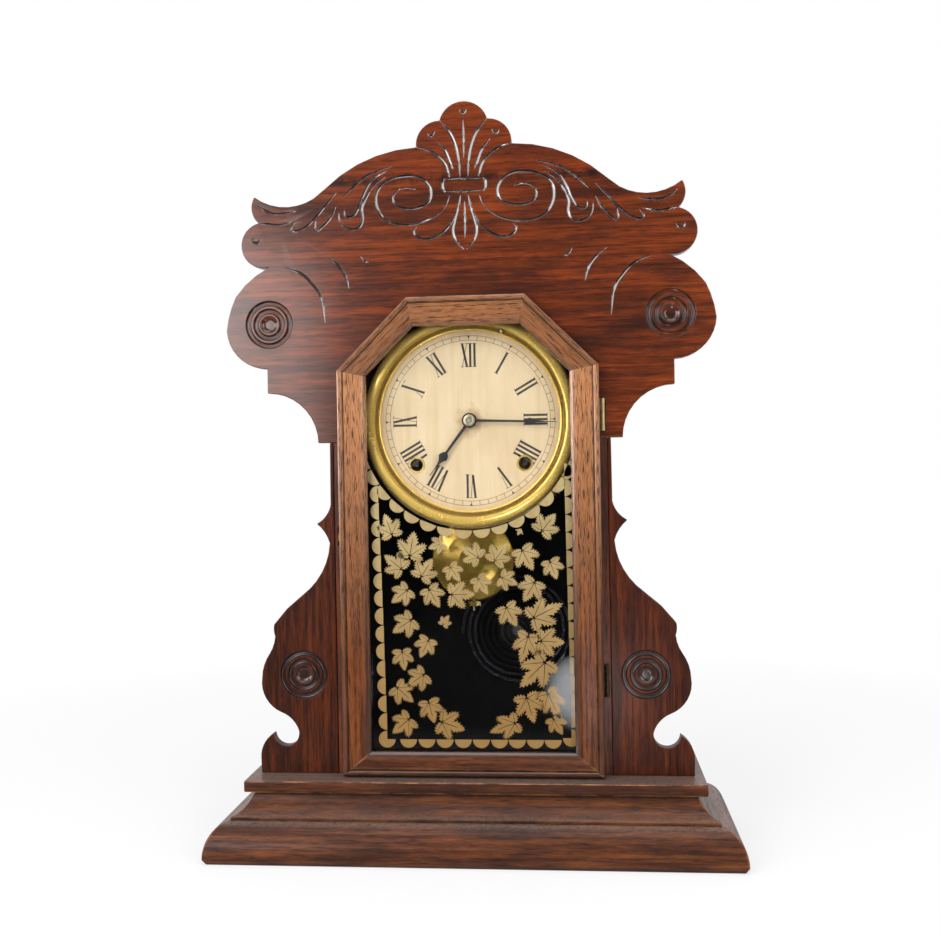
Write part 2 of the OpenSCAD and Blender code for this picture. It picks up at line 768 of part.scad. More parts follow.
// Things on an arbor: children are placed on the arbor's axis, with x and z as drawn,
// and the height of an extrusion running back from the front plate's inner face
module on_arbor(at, u) {
    translate([at[0], plate_in_y + u, dial_z + at[1]]) rotate([90, 0, 0]) mirror([0, 0, 1]) children();
}

module disc_on(at, u, t, r) { on_arbor(at, u) cylinder(h = t, r = r); }

// Arbor with its pivots in both plates
module arbor(at, r, pivot_r) {
    disc_on(at, 0.2, plate_gap - 0.4, r);
    disc_on(at, -plate_t - 0.3, plate_gap + 2 * plate_t + 0.6, pivot_r);
}

module wheel_on(at, u, t, teeth, mod, phase, spokes = 4, hub_r = 4, rim = 3) {
    on_arbor(at, u) linear_extrude(t) rotate(phase)
        spoked(teeth * mod / 2 - rim, hub_r, spokes, 2.4) polygon(wheel_outline(teeth, mod));
}

// Lantern pinion: wires between two discs, clear of a wheel of thickness t at u
module lantern(at, u, t, pins, mod, phase) {
    cheek = 0.5;
    r = pins * mod / 2;
    disc_on(at, u - shake - cheek, cheek, r + 0.9 * mod);
    disc_on(at, u + t + shake, cheek, r + 0.9 * mod);
    for (k = [0 : pins - 1]) {
        p = turned([r, 0], phase + 360 * k / pins);
        disc_on(at + p, u - shake - cheek, t + 2 * shake + 2 * cheek, 0.42 * mod);
    }
}

// Tooth and pin angles of the going train, each from the one before
great_a = way(wind_at, second_at);
second_pin_a = in_mesh(way(wind_at, second_at), great_teeth, great_a, second_pins);
second_a = way(second_at, centre_at);
centre_small_a = in_mesh(way(second_at, centre_at), second_teeth, second_a, centre_small_teeth);
centre_a = way(centre_at, third_at);
third_pin_a = in_mesh(way(centre_at, third_at), centre_teeth, centre_a, third_pins);
third_a = way(third_at, escape_at);
escape_pin_a = in_mesh(way(third_at, escape_at), third_teeth, third_a, escape_pins);

// and of the striking train
strike_great_a = way(strike_wind_at, strike_second_at);
strike_second_pin_a =
    in_mesh(way(strike_wind_at, strike_second_at), great_teeth, strike_great_a, second_pins);
strike_second_a = way(strike_second_at, strike_third_at);
strike_third_pin_a = in_mesh(way(strike_second_at, strike_third_at), strike_second_teeth,
    strike_second_a, strike_third_pins);
strike_third_a = way(strike_third_at, warning_at);
warning_pin_a = in_mesh(way(strike_third_at, warning_at), strike_third_teeth,
    strike_third_a, warning_pins);
warning_a = way(warning_at, fly_at);
fly_pin_a = in_mesh(way(warning_at, fly_at), warning_teeth, warning_a, fly_pins);

// Great wheel, loose on the winding arbor, with its click
module great_wheel(at, phase) {
    color(brass) {
        difference() {
            union() {
                wheel_on(at, great_u, great_t, great_teeth, great_mod, phase, 5, 9, 5);
                disc_on(at, great_u + great_t, 2, 6);
            }
            disc_on(at, great_u - 1, 6, wind_r + run_fit);
        }
        click_r = 14;
        click_at = at + turned([click_r, 0], phase + 72);
        disc_on(click_at, great_u - 2.2, 2.3, 1.6);
        on_arbor(at, great_u - 1.9) linear_extrude(1.5) rotate(phase + 72)
            polygon([[click_r - 1.6, 0], [click_r, 1.6], [ratchet_r + 0.5, 6.6],
                [ratchet_r - 2.6, 7.4], [ratchet_r - 0.4, 4.4]]);
    }
}

// Winding arbor with its square end and ratchet
ratchet_r = 9;
ratchet_teeth = 16;
module winding_arbor(at) {
    square_l = plate_front_y - dial_y + 2;
    color(steel) {
        disc_on(at, 0.2, plate_gap - 0.4, wind_r);
        disc_on(at, -plate_t - 0.5, plate_gap + 2 * plate_t + 0.8, wind_r - 0.6);
        on_arbor(at, -plate_t - square_l) linear_extrude(square_l) square(3.2, center = true);
        disc_on(at, spring_u, spring_w, wind_r + 0.6);
    }
    color(brass) on_arbor(at, great_u - 1.9) linear_extrude(1.5) polygon(
        [for (k = [0 : ratchet_teeth - 1]) let (a = 360 * k / ratchet_teeth)
            each [ratchet_r * [cos(a), sin(a)], (ratchet_r - 1.6) * [cos(a + 3), sin(a + 3)]]]);
}

module time_great_wheel() { great_wheel(wind_at, great_a); }
module time_winding_arbor() { winding_arbor(wind_at); }
module strike_great_wheel() { great_wheel(strike_wind_at, strike_great_a); }
module strike_winding_arbor() { winding_arbor(strike_wind_at); }

module time_second_wheel() {
    color(steel) arbor(second_at, 1.6, 1.1);
    color(brass) {
        lantern(second_at, great_u, great_t, second_pins, great_mod, second_pin_a);
        wheel_on(second_at, second_u, second_t, second_teeth, second_mod, second_a);
    }
}

module strike_second_wheel() {
    color(steel) arbor(strike_second_at, 1.2, 1.1);
    color(brass) {
        lantern(strike_second_at, great_u, great_t, second_pins, great_mod, strike_second_pin_a);
        wheel_on(strike_second_at, second_u, second_t, strike_second_teeth, fine_mod, strike_second_a);
    }
}

// Centre wheel, held to the centre arbor by friction
module centre_wheel() {
    color(brass) difference() {
        union() {
            wheel_on(centre_at, second_u, second_t, centre_small_teeth, second_mod, centre_small_a,
                0, 4, 4);
            wheel_on(centre_at, centre_u, centre_t, centre_teeth, centre_mod, centre_a, 4, 5);
            disc_on(centre_at, second_u, centre_u + centre_t - second_u, 4.2);
        }
        disc_on(centre_at, second_u - 1, 8, centre_r + run_fit);
    }
}

module centre_arbor() {
    color(steel) {
        disc_on(centre_at, -plate_t - shake - 0.3, plate_gap + 2 * plate_t + 0.9, centre_r);
        on_arbor(centre_at, -plate_t) mirror([0, 0, 1])
            cylinder(h = plate_front_y - minute_hand_y + 3, r = centre_r);
        disc_on(centre_at, centre_u + centre_t + shake, 2, 3.2);
        disc_on(centre_at, second_u - shake - 1.4, 1.4, 3.2);
    }
    color(brass) {
        on_arbor(centre_at, -plate_t - cannon_v - cannon_t) linear_extrude(cannon_t)
            polygon([for (p = wheel_outline(cannon_teeth, motion_mod)) turned(p, cannon_a)]);
        disc_on(centre_at, -plate_t - cannon_v, cannon_v - shake, 2.4);
    }
}

module time_third_wheel() {
    color(steel) arbor(third_at, 1.1, 0.8);
    color(brass) {
        lantern(third_at, centre_u, centre_t, third_pins, centre_mod, third_pin_a);
        wheel_on(third_at, third_u, fine_t, third_teeth, fine_mod, third_a);
    }
}

module escape_wheel() {
    color(steel) arbor(escape_at, 0.7, 0.5);
    color(brass) {
        lantern(escape_at, third_u, fine_t, escape_pins, fine_mod, escape_pin_a);
        on_arbor(escape_at, escape_u) linear_extrude(escape_t)
            spoked(escape_r - 5, 3, 4, 1.8) polygon(escape_outline());
    }
}

module strike_third_wheel() {
    color(steel) arbor(strike_third_at, 1.1, 0.8);
    color(brass) {
        lantern(strike_third_at, second_u, second_t, strike_third_pins, fine_mod, strike_third_pin_a);
        wheel_on(strike_third_at, strike_third_u, fine_t, strike_third_teeth, fine_mod, strike_third_a);
    }
}

module warning_wheel() {
    color(steel) {
        arbor(warning_at, 1, 0.7);
        disc_on(warning_at + turned([warning_pin_r, 0], warning_a + 45), warning_u - 3, 3.5, 0.7);
    }
    color(brass) {
        lantern(warning_at, strike_third_u, fine_t, warning_pins, fine_mod, warning_pin_a);
        wheel_on(warning_at, warning_u, fine_t, warning_teeth, fine_mod, warning_a, 4, 3);
    }
}

module fly() {
    blade_r = 9;
    blade_l = 10;
    color(steel) arbor(fly_at, 0.8, 0.5);
    color(brass) {
        lantern(fly_at, warning_u, fine_t, fly_pins, fine_mod, fly_pin_a);
        on_arbor(fly_at, great_u) linear_extrude(blade_l) {
            square([2 * blade_r, 0.6], center = true);
            circle(1.8);
        }
    }
}

// Anchor over the escape wheel, its arbor and the crutch that leads the pendulum
module verge() {
    lift = 1.2;
    tip = turned([0, escape_r + lift], -pallet_half) + escape_at - verge_at;
    anchor = both_sides(runs([[0, 2.4, 0.4], [6, 1.4, 1.2], [tip[0] + 1.8, tip[1] + 1.2, 0],
        [tip[0], tip[1], 0], [tip[0] - 1.8, tip[1] + 3.4, -0.8], [4.5, -1.8, 0], [0, -2.4, 0]]));
    crutch_v = rod_front - 2.4;
    fork_z = dial_z + verge_at[1] - crutch_l;
    y = plate_front_y - crutch_v;
    color(steel) {
        arbor(verge_at, 0.9, 0.6);
        on_arbor(verge_at, escape_u - 0.4) linear_extrude(escape_t + 0.8) polygon(anchor);
        disc_on(verge_at, -plate_t - crutch_v - 0.8, crutch_v + 0.6, 0.6);
        bar([0, y, dial_z + verge_at[1] + 1], [0, y, fork_z], 0.7);
        translate([-rod_r - 1.1, y - 0.6, fork_z - 0.6]) cube([2 * rod_r + 2.2, 1.2, 1.2]);
        for (side = [-1, 1]) translate([side * (rod_r + 0.7) - 0.4, y - 4, fork_z - 0.6])
            cube([0.8, 4.2, 1.2]);
    }
}

// ---- motion work and hands ----

cannon_v = 1.5;
cannon_t = 2;
hour_v = cannon_v + cannon_t + 0.5;
hour_t = 1.5;
cannon_a = way(centre_at, minute_at);
minute_a = in_mesh(way(centre_at, minute_at), cannon_teeth, cannon_a, minute_teeth);
minute_pinion_a = way(minute_at, centre_at);
hour_a = in_mesh(way(minute_at, centre_at), minute_pinion_teeth, minute_pinion_a, hour_teeth);
stud_r = 1.2;
pipe_r = centre_r + 1;
hour_hand_y = dial_y - 3.5;
minute_hand_y = hour_hand_y - 2.5;

module minute_wheel() {
    color(brass) difference() {
        union() {
            wheel_on(minute_at, -plate_t - cannon_v - cannon_t, cannon_t, minute_teeth, motion_mod,
                minute_a, 0, 3, 3);
            on_arbor(minute_at, -plate_t - hour_v - hour_t) linear_extrude(hour_t + 0.6)
                polygon([for (p = wheel_outline(minute_pinion_teeth, hour_mod))
                    turned(p, minute_pinion_a)]);
        }
        disc_on(minute_at, -plate_t - hour_v - hour_t - 1, 8, stud_r + run_fit);
    }
}

module hour_wheel() {
    front = plate_front_y - hour_hand_y + hand_t;
    color(brass) difference() {
        union() {
            wheel_on(centre_at, -plate_t - hour_v - hour_t, hour_t, hour_teeth, hour_mod, hour_a,
                4, 4.5, 2.4);
            disc_on(centre_at, -plate_t - front, front - hour_v, pipe_r);
        }
        disc_on(centre_at, -plate_t - front - 1, front + 2, centre_r + run_fit);
    }
}

// Spade hand of length l pointing up: eye of radius eye_r, blade and leaf half widths
function hand_outline(l, blade, leaf_at, leaf) = both_sides(concat([[0, l]],
    runs([[0.35, l - 0.4, -0.3], [0.7, leaf_at + 6, -0.6], [leaf, leaf_at, 0.7],
          [blade, leaf_at - 5, 0], [blade + 0.3, 0, 0], [0, 0, 0]])));

module hour_hand() {
    color(blued) difference() {
        plate(hour_hand_y, hand_t) translate([0, dial_z]) {
            rotate(-hour_angle) polygon(hand_outline(hour_hand_l, 0.9, 35, 3.6));
            circle(hub_r - 0.7);
        }
        rod_y(0, dial_z, hour_hand_y - 1, hour_hand_y + hand_t + 1, pipe_r);
    }
}

module minute_hand() {
    color(blued) difference() {
        union() {
            plate(minute_hand_y, hand_t) translate([0, dial_z]) {
                rotate(-minute_angle) polygon(hand_outline(minute_hand_l, 0.75, 46.8, 2.5));
                circle(hub_r);
            }
            turned_at(0, dial_z, minute_hand_y)
                polygon([[0, -0.2], [4.7, -0.2], [4.7, 0.5], [4, 1], [0, 1]]);
        }
        rod_y(0, dial_z, minute_hand_y - 3, minute_hand_y + 3, centre_r);
    }
}

// ---- plates and what they carry ----

plate_half = 56;
plate_low = 50;
plate_high = 70;
neck_r = 2;
rivet_r = 1.4;
rivet_up = 8;

module plate_holes(wind_hole) {
    for (at = [wind_at, strike_wind_at]) translate(at) circle(wind_hole);
    translate(centre_at) circle(centre_r + run_fit);
    for (at = [second_at, strike_second_at]) translate(at) circle(1.1 + run_fit);
    for (at = [third_at, strike_third_at, hammer_at]) translate(at) circle(0.8 + run_fit);
    translate(warning_at) circle(0.7 + run_fit);
    translate(verge_at) circle(0.6 + run_fit);
    for (at = [escape_at, fly_at]) translate(at) circle(0.5 + run_fit);
    for (at = pillar_places()) translate(at) circle(neck_r);
}

function pillar_places() =
    [low_pillar_at, high_pillar_at, [-high_pillar_at[0], high_pillar_at[1]]];
function stud_places() = [spring_stud_at, [-spring_stud_at[0], spring_stud_at[1]]];

module plate_blank() {
    difference() {
        polygon(both_sides(runs([[0, plate_high, 0], [plate_half - 4, plate_high, 1.17],
            [plate_half, plate_high - 4, 0], [plate_half, -plate_low + 4, 1.17],
            [plate_half - 4, -plate_low, 0], [0, -plate_low, 0]])));
        polygon([[27, 22], [45, 22], [45, 50], [36, 54], [27, 50]]);
        polygon([[-22, 8], [-9, 8], [-9, 30], [-17, 34], [-22, 30]]);
        translate([-10, -22]) square([20, 12]);
        plate_holes(wind_r - 0.6 + run_fit);
    }
}

module front_plate() {
    color(brass) {
        translate([0, 0, dial_z]) plate(plate_front_y, plate_t) difference() {
            plate_blank();
            for (at = stud_places()) translate(at) circle(neck_r);
            translate(verge_at + [0, rivet_up]) circle(rivet_r);
        }
        disc_on(minute_at, -plate_t - hour_v - hour_t - 0.4, hour_v + hour_t + 0.5, stud_r);
        disc_on(minute_at, -plate_t - cannon_v + shake, cannon_v - shake + 0.1, 2.4);
    }
}

module back_plate() {
    color(brass) translate([0, 0, dial_z]) plate(plate_back_y, plate_t) plate_blank();
}

// Pillars with feet that reach the back board, and the studs that hold the springs
module plate_pillars() {
    color(brass) {
        for (at = pillar_places()) {
            disc_on(at, 0, plate_gap, pillar_r);
            disc_on(at, -plate_t - 3.4, plate_gap + 2 * plate_t + 3.5, neck_r);
            disc_on(at, plate_gap + plate_t, foot_h, pillar_r);
        }
        for (at = stud_places()) {
            disc_on(at, 0, spring_u + spring_w + 1, 2.5);
            disc_on(at, -plate_t, plate_t + 0.1, neck_r);
        }
    }
}

module pillar_nuts() {
    color(steel) for (at = pillar_places()) on_arbor(at, -plate_t - 2.4) difference() {
        cylinder(h = 2.4, r = 3.8, $fn = 6);
        translate([0, 0, -1]) cylinder(h = 5, r = neck_r);
    }
}

// Spring strip between the winding arbor's collar and its stud
module mainspring(at, stud, hand) {
    eye_in = 2.5 + 0.05;
    eye = eye_in + spring_t;
    start_r = wind_r + 1.1 + spring_t;
    end_r = norm(stud - at) - eye + spring_t;
    steps = spring_turns * 24;
    last = way(at, stud);
    middle = [for (i = [0 : steps])
        (start_r + (end_r - start_r) * i / steps)
            * [cos(last - hand * 15 * (steps - i)), sin(last - hand * 15 * (steps - i))]];
    inner = [for (p = middle) p - p / norm(p) * spring_t];
    on_arbor(at, spring_u) linear_extrude(spring_w) {
        polygon(concat(middle, reversed(inner)));
        translate(stud - at) difference() {
            circle(eye);
            circle(eye_in);
        }
    }
}

module mainsprings() {
    color(blued) {
        mainspring(wind_at, spring_stud_at, 1);
        mainspring(strike_wind_at, [-spring_stud_at[0], spring_stud_at[1]], -1);
    }
}

// Bracket over the verge with the thin strip that the pendulum hangs from
module suspension() {
    strip = 0.3;
    z = dial_z + verge_at[1];
    y = plate_front_y - rod_front;
    color(brass) {
        translate([-3, y - 2, z + 6]) cube([6, plate_front_y - y + 2, 4]);
        rod_y(0, z + rivet_up, plate_front_y - 0.1, plate_in_y, rivet_r);
    }
    color(steel) translate([-strip / 2, y - 1.2, z - 1.2]) cube([strip, 2.4, 7.4]);
}

// ---- pendulum, hammer and gong ----

bob_at = [0, -bob_down];
rod_y0 = plate_front_y - rod_front;
bob_slide = 2;

module pendulum_rod() {
    top = verge_at[1] - 4;
    side_x = pipe_r + rod_r + 5.7;
    route = [[0, top], [0, 18], [side_x, 12], [side_x, -12], [0, -18],
        [0, bob_at[1] - bob_r - bob_slide - 6]];
    color(steel) for (i = [0 : len(route) - 2]) {
        bar([route[i][0], rod_y0, dial_z + route[i][1]],
            [route[i + 1][0], rod_y0, dial_z + route[i + 1][1]], rod_r);
        if (i > 0) translate([route[i][0], rod_y0, dial_z + route[i][1]]) sphere(rod_r, $fn = 24);
    }
    color(brass) difference() {
        translate([-1.6, rod_y0 - 1.4, dial_z + top - 2]) cube([3.2, 2.8, 5]);
        translate([-0.5, rod_y0 - 3, dial_z + verge_at[1] - 2.2]) cube([1, 6, 5]);
    }
}

module pendulum_bob() {
    edge = 1;
    bulge = bob_t / 2 - edge;
    cap = runs([[0, bob_t / 2, 0.42 * bulge], [bob_r - 0.8, edge, 0], [bob_r, edge - 0.6, 0]]);
    color(brass) difference() {
        turned_at(0, dial_z + bob_at[1], rod_y0, $fn = 96)
            polygon(concat(cap, [for (p = reversed(cap)) [p[0], -p[1]]]));
        translate([0, rod_y0, dial_z + bob_at[1] - bob_r - 1])
            cylinder(h = 2 * bob_r + 2, r = rod_r + run_fit);
    }
}

module rating_nut() {
    nut_h = 3.6;
    color(brass) translate([0, rod_y0, dial_z + bob_at[1] - bob_r - shake - nut_h]) difference() {
        cylinder(h = nut_h, r = 4.4);
        translate([0, 0, -1]) cylinder(h = nut_h + 2, r = rod_r + run_fit);
    }
}

gong_at = [gong_x, -gong_down];
gong_y = board_front_y - gong_front;

module hammer() {
    y = gong_y;
    out = turned([0, 1], 22);
    face = gong_at + out * (coil_r + coil_wire_r + 0.8);
    head_l = 9;
    route = [hammer_at, [-6.5, -45], [-6, -58], face + out * head_l / 2];
    color(steel) {
        arbor(hammer_at, 1.1, 0.8);
        disc_on(hammer_at, hammer_u - 1.5, 3, 2.2);
        for (i = [0 : len(route) - 2]) {
            bar([route[i][0], y, dial_z + route[i][1]],
                [route[i + 1][0], y, dial_z + route[i + 1][1]], 0.9);
            if (i > 0) translate([route[i][0], y, dial_z + route[i][1]]) sphere(1, $fn = 24);
        }
    }
    color(brass) bar([face[0], y, dial_z + face[1]],
        [face[0] + out[0] * head_l, y, dial_z + face[1] + out[1] * head_l], 3.4);
}

module gong_stand() {
    h = gong_front + coil_wire_r + 2;
    lug = 2 * coil_wire_r;
    color(iron) {
        turned_at(gong_x, dial_z - gong_down, board_front_y) polygon(concat([[0, 0]],
            runs([[gong_foot_r, 0, 0], [gong_foot_r, 2, 0.8], [5, 7, 0], [4.2, h, 0], [0, h, 0]])));
        translate([gong_x, gong_y - 3, dial_z - gong_down - 2 * lug])
            cube([coil_in_r + 1.4, 6, lug]);
    }
}

// Middle line of the gong's coil in x and z: a straight end, the spiral and a straight end
coil_steps = 24;
coil_pitch = (coil_r - coil_in_r) / coil_loops;
coil_turn = [for (i = [0 : coil_loops * coil_steps])
    let (a = 360 * i / coil_steps, r = coil_in_r + coil_pitch * i / coil_steps)
    [r * cos(a), r * sin(a)]];
coil_line = concat([[coil_in_r, -2 * coil_wire_r]], coil_turn,
    [let (n = len(coil_turn), u = coil_turn[n - 1] - coil_turn[n - 2])
        coil_turn[n - 1] + u / norm(u) * 2 * coil_wire_r]);

// Least gap between turns, from the middle line's points
coil_gap = min([for (i = [0 : len(coil_line) - 1]) for (j = [i + 1 : len(coil_line) - 1])
    if (j - i > coil_steps / 2) norm(coil_line[i] - coil_line[j])]) - 2 * coil_wire_r;
echo(coil_gap = coil_gap);

module gong_coil() {
    sides = 6;
    n = len(coil_line);
    points = [for (i = [0 : n - 1])
        let (a = coil_line[max(i - 1, 0)], b = coil_line[min(i + 1, n - 1)],
             u = (b - a) / norm(b - a), side = [u[1], -u[0]], p = coil_line[i])
        for (k = [0 : sides - 1])
            let (t = 360 * k / sides)
            [p[0] + coil_wire_r * cos(t) * side[0], coil_wire_r * sin(t),
             p[1] + coil_wire_r * cos(t) * side[1]]];
    ring = [for (i = [0 : n - 2]) for (k = [0 : sides - 1])
        let (a = i * sides + k, b = i * sides + (k + 1) % sides)
        each [[a, b, a + sides], [b, b + sides, a + sides]]];
    caps = [for (k = [1 : sides - 2]) each [[0, k + 1, k],
        [(n - 1) * sides, (n - 1) * sides + k, (n - 1) * sides + k + 1]]];
    color(blued) translate([gong_x, gong_y, dial_z - gong_down]) polyhedron(points, concat(ring, caps));
}

back_board();
case_side_left();
case_side_right();
case_top();
shelf_board();
crest_board();
wing_left();
wing_right();
cove_front();
cove_returns();
plinth_front();
plinth_returns();
base_back_rail();
glue_blocks();
door_stile_left();
door_stile_right();
door_bottom_rail();
door_top_rail();
door_slant_left();
door_slant_right();
door_glass();
glazing_strips();
hinge_leaves_case();
hinge_leaves_door();
door_catch();
catch_tongue();
dial_pan();
dial_ring();
dial_eyelets();
dial_battens();
front_plate();
back_plate();
plate_pillars();
pillar_nuts();
suspension();
mainsprings();
time_great_wheel();
time_winding_arbor();
time_second_wheel();
centre_wheel();
centre_arbor();
time_third_wheel();
escape_wheel();
verge();
minute_wheel();
hour_wheel();
hour_hand();
minute_hand();
strike_great_wheel();
strike_winding_arbor();
strike_second_wheel();
strike_third_wheel();
warning_wheel();
fly();
hammer();
pendulum_rod();
pendulum_bob();
rating_nut();
gong_stand();
gong_coil();
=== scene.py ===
import math
import random

import bmesh
import bpy
from mathutils import Matrix, Vector


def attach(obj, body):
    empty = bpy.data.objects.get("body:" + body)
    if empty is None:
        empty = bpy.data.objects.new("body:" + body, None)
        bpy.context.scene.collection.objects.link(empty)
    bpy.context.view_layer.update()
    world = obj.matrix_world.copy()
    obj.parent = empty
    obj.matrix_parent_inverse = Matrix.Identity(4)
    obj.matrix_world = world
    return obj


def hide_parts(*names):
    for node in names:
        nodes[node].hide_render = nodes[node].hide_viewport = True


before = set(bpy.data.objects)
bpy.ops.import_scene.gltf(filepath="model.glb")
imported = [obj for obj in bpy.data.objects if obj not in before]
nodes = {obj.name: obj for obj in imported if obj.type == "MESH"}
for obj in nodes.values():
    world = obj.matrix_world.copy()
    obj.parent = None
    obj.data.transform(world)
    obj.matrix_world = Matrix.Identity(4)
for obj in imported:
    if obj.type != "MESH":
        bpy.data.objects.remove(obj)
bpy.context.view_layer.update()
mm = 0.001
# In mm, as in part.scad: x and z of the dial's and the gong's centres, y of the dial's and the boards' faces
dialCentre = (0.0, 320.2)
gongCentre = (31.2, 154.0)
dialFace = -1.5
boardFace = -15.5
# The case's inside, in metres: half its width, then where it begins and ends
caseInside = {"half": 0.0934, "front": -0.0062, "back": 0.0602, "low": 0.0544, "high": 0.4222}
finishes = {}
groups = {}
dice = random.Random(41)
print("frame loaded,", len(nodes), "nodes")


def srgb(*parts):
    # a screen colour, 0 to 255, as linear light
    shares = [part / 255 for part in parts]
    return (*(share / 12.92 if share <= 0.04045 else ((share + 0.055) / 1.055) ** 2.4 for share in shares), 1.0)


def put(tree, kind, settings=None, inputs=None):
    node = tree.nodes.new(kind)
    for key, value in (settings or {}).items():
        setattr(node, key, value)
    for key, value in (inputs or {}).items():
        if isinstance(value, bpy.types.NodeSocket):
            tree.links.new(value, node.inputs[key])
        else:
            node.inputs[key].default_value = value
    return node


def maths(tree, operation, first, second=0.5, clamp=False):
    return put(tree, "ShaderNodeMath", {"operation": operation, "use_clamp": clamp}, {0: first, 1: second}).outputs[0]


def times(tree, first, second, clamp=False):
    return maths(tree, "MULTIPLY", first, second, clamp)


def blend(tree, factor, first, second):
    return put(tree, "ShaderNodeMix", {"data_type": "RGBA"}, {0: factor, 6: first, 7: second}).outputs[2]


def spread(tree, value, fromLow, fromHigh, low=0.0, high=1.0):
    return put(tree, "ShaderNodeMapRange", {"clamp": True}, {
        "Value": value, "From Min": fromLow, "From Max": fromHigh, "To Min": low, "To Max": high}).outputs[0]


def noise(tree, vector, scale, detail=2.0, rough=0.5):
    return put(tree, "ShaderNodeTexNoise", None,
               {"Vector": vector, "Scale": scale, "Detail": detail, "Roughness": rough}).outputs[0]


def vectorMaths(tree, operation, first, second=(0, 0, 0), gives="Vector"):
    return put(tree, "ShaderNodeVectorMath", {"operation": operation}, {0: first, 1: second}).outputs[gives]


def stretched(tree, vector, x, y, z):
    return vectorMaths(tree, "MULTIPLY", vector, (x, y, z))


def along(tree, vector, axis):
    return put(tree, "ShaderNodeSeparateXYZ", None, {0: vector}).outputs[axis]


def distance(tree, vector, centre):
    return vectorMaths(tree, "LENGTH", vectorMaths(tree, "SUBTRACT", vector, centre), gives="Value")


def fromAxis(tree, place, axis):
    # distance from a line along Y, which stands at the axis's x and z in mm
    return distance(tree, stretched(tree, place, 1, 0, 1), (axis[0] * mm, 0, axis[1] * mm))


def bumped(tree, height, strength, depth=0.0001):
    return put(tree, "ShaderNodeBump", None, {"Strength": strength, "Distance": depth, "Height": height}).outputs[0]


def mixed(tree, factor, first, second):
    return put(tree, "ShaderNodeMixShader", None, {0: factor, 1: first, 2: second}).outputs[0]


def glow(tree, kind, color, strength):
    return put(tree, "ShaderNode" + kind, None, {"Color": color, "Strength": strength}).outputs[0]


def shared(tree, name, inputs):
    return put(tree, "ShaderNodeGroup", {"node_tree": groups[name]}, inputs).outputs


def newGroup(name, takes, gives):
    tree = groups[name] = bpy.data.node_groups.new(name, "ShaderNodeTree")
    for label, kind, value in takes:
        socket = tree.interface.new_socket(label, in_out="INPUT", socket_type="NodeSocket" + kind)
        if value is not None:
            socket.default_value = value
    for label, kind in gives:
        tree.interface.new_socket(label, in_out="OUTPUT", socket_type="NodeSocket" + kind)
    return tree, tree.nodes.new("NodeGroupInput").outputs, tree.nodes.new("NodeGroupOutput").inputs


# Oak with its grain along the vector's Z: growth rings, fibres, open pores and dark blotches
def makeOakGrain():
    tree, takes, gives = newGroup("oakGrain", [
        ("Vector", "Vector", None), ("Pale", "Color", srgb(150, 95, 60)), ("Deep", "Color", srgb(110, 60, 35)),
        ("Streak", "Color", srgb(60, 35, 25)), ("Rings", "Float", 90.0), ("Figure", "Float", 6.0),
        ("Pores", "Float", 0.6), ("Blotch", "Float", 0.4)],
        [("Color", "Color"), ("Rough", "Float"), ("Height", "Float")])
    vector = takes["Vector"]
    rings = put(tree, "ShaderNodeTexWave", {"wave_type": "RINGS", "rings_direction": "Z", "wave_profile": "SIN"},
                {"Vector": stretched(tree, vector, 1, 1, 0.05), "Scale": takes["Rings"],
                 "Distortion": takes["Figure"], "Detail": 4.0, "Detail Scale": 0.55,
                 "Detail Roughness": 0.65}).outputs["Fac"]
    early = spread(tree, rings, 0.3, 0.95)
    broad = noise(tree, stretched(tree, vector, 1, 1, 0.1), 135, 5, 0.66)
    fibre = noise(tree, stretched(tree, vector, 1, 1, 0.045), 640, 4, 0.68)
    dash = noise(tree, stretched(tree, vector, 1, 1, 0.055), 1900, 3, 0.6)
    poreMask = times(tree, spread(tree, dash, 0.5, 0.59), spread(tree, early, 0, 1, 0.4, 1))
    poreMask = times(tree, poreMask, takes["Pores"], True)
    cloud = noise(tree, stretched(tree, vector, 1, 1, 0.2), 55, 6, 0.7)
    cloudMask = times(tree, spread(tree, cloud, 0.46, 0.66), takes["Blotch"], True)
    color = blend(tree, spread(tree, broad, 0.36, 0.64), takes["Pale"], takes["Deep"])
    color = blend(tree, times(tree, early, 0.45), color, takes["Deep"])
    for mask in (spread(tree, fibre, 0.5, 0.68, 0.0, 0.8), cloudMask, poreMask):
        color = blend(tree, mask, color, takes["Streak"])
    tree.links.new(color, gives["Color"])
    rough = maths(tree, "ADD", spread(tree, cloud, 0.3, 0.7, 0.28, 0.42), times(tree, poreMask, 0.3))
    tree.links.new(rough, gives["Rough"])
    height = maths(tree, "SUBTRACT", times(tree, fibre, 0.3), poreMask)
    tree.links.new(height, gives["Height"])


# Mask of the edges, which hands and cloths have rubbed and which also carry a painted highlight
def makeEdgeWearAndSheen():
    tree, takes, gives = newGroup("edgeWearAndSheen", [
        ("Vector", "Vector", None), ("Radius", "Float", 0.0012), ("Patches", "Float", 60.0)],
        [("Mask", "Float")])
    bevel = put(tree, "ShaderNodeBevel", {"samples": 4}, {"Radius": takes["Radius"]}).outputs[0]
    normal = put(tree, "ShaderNodeNewGeometry").outputs["Normal"]
    bent = spread(tree, vectorMaths(tree, "DOT_PRODUCT", bevel, normal, "Value"), 0.99, 0.86)
    patch = spread(tree, noise(tree, takes["Vector"], takes["Patches"], 4, 0.65), 0.4, 0.62)
    tree.links.new(times(tree, bent, patch, True), gives["Mask"])
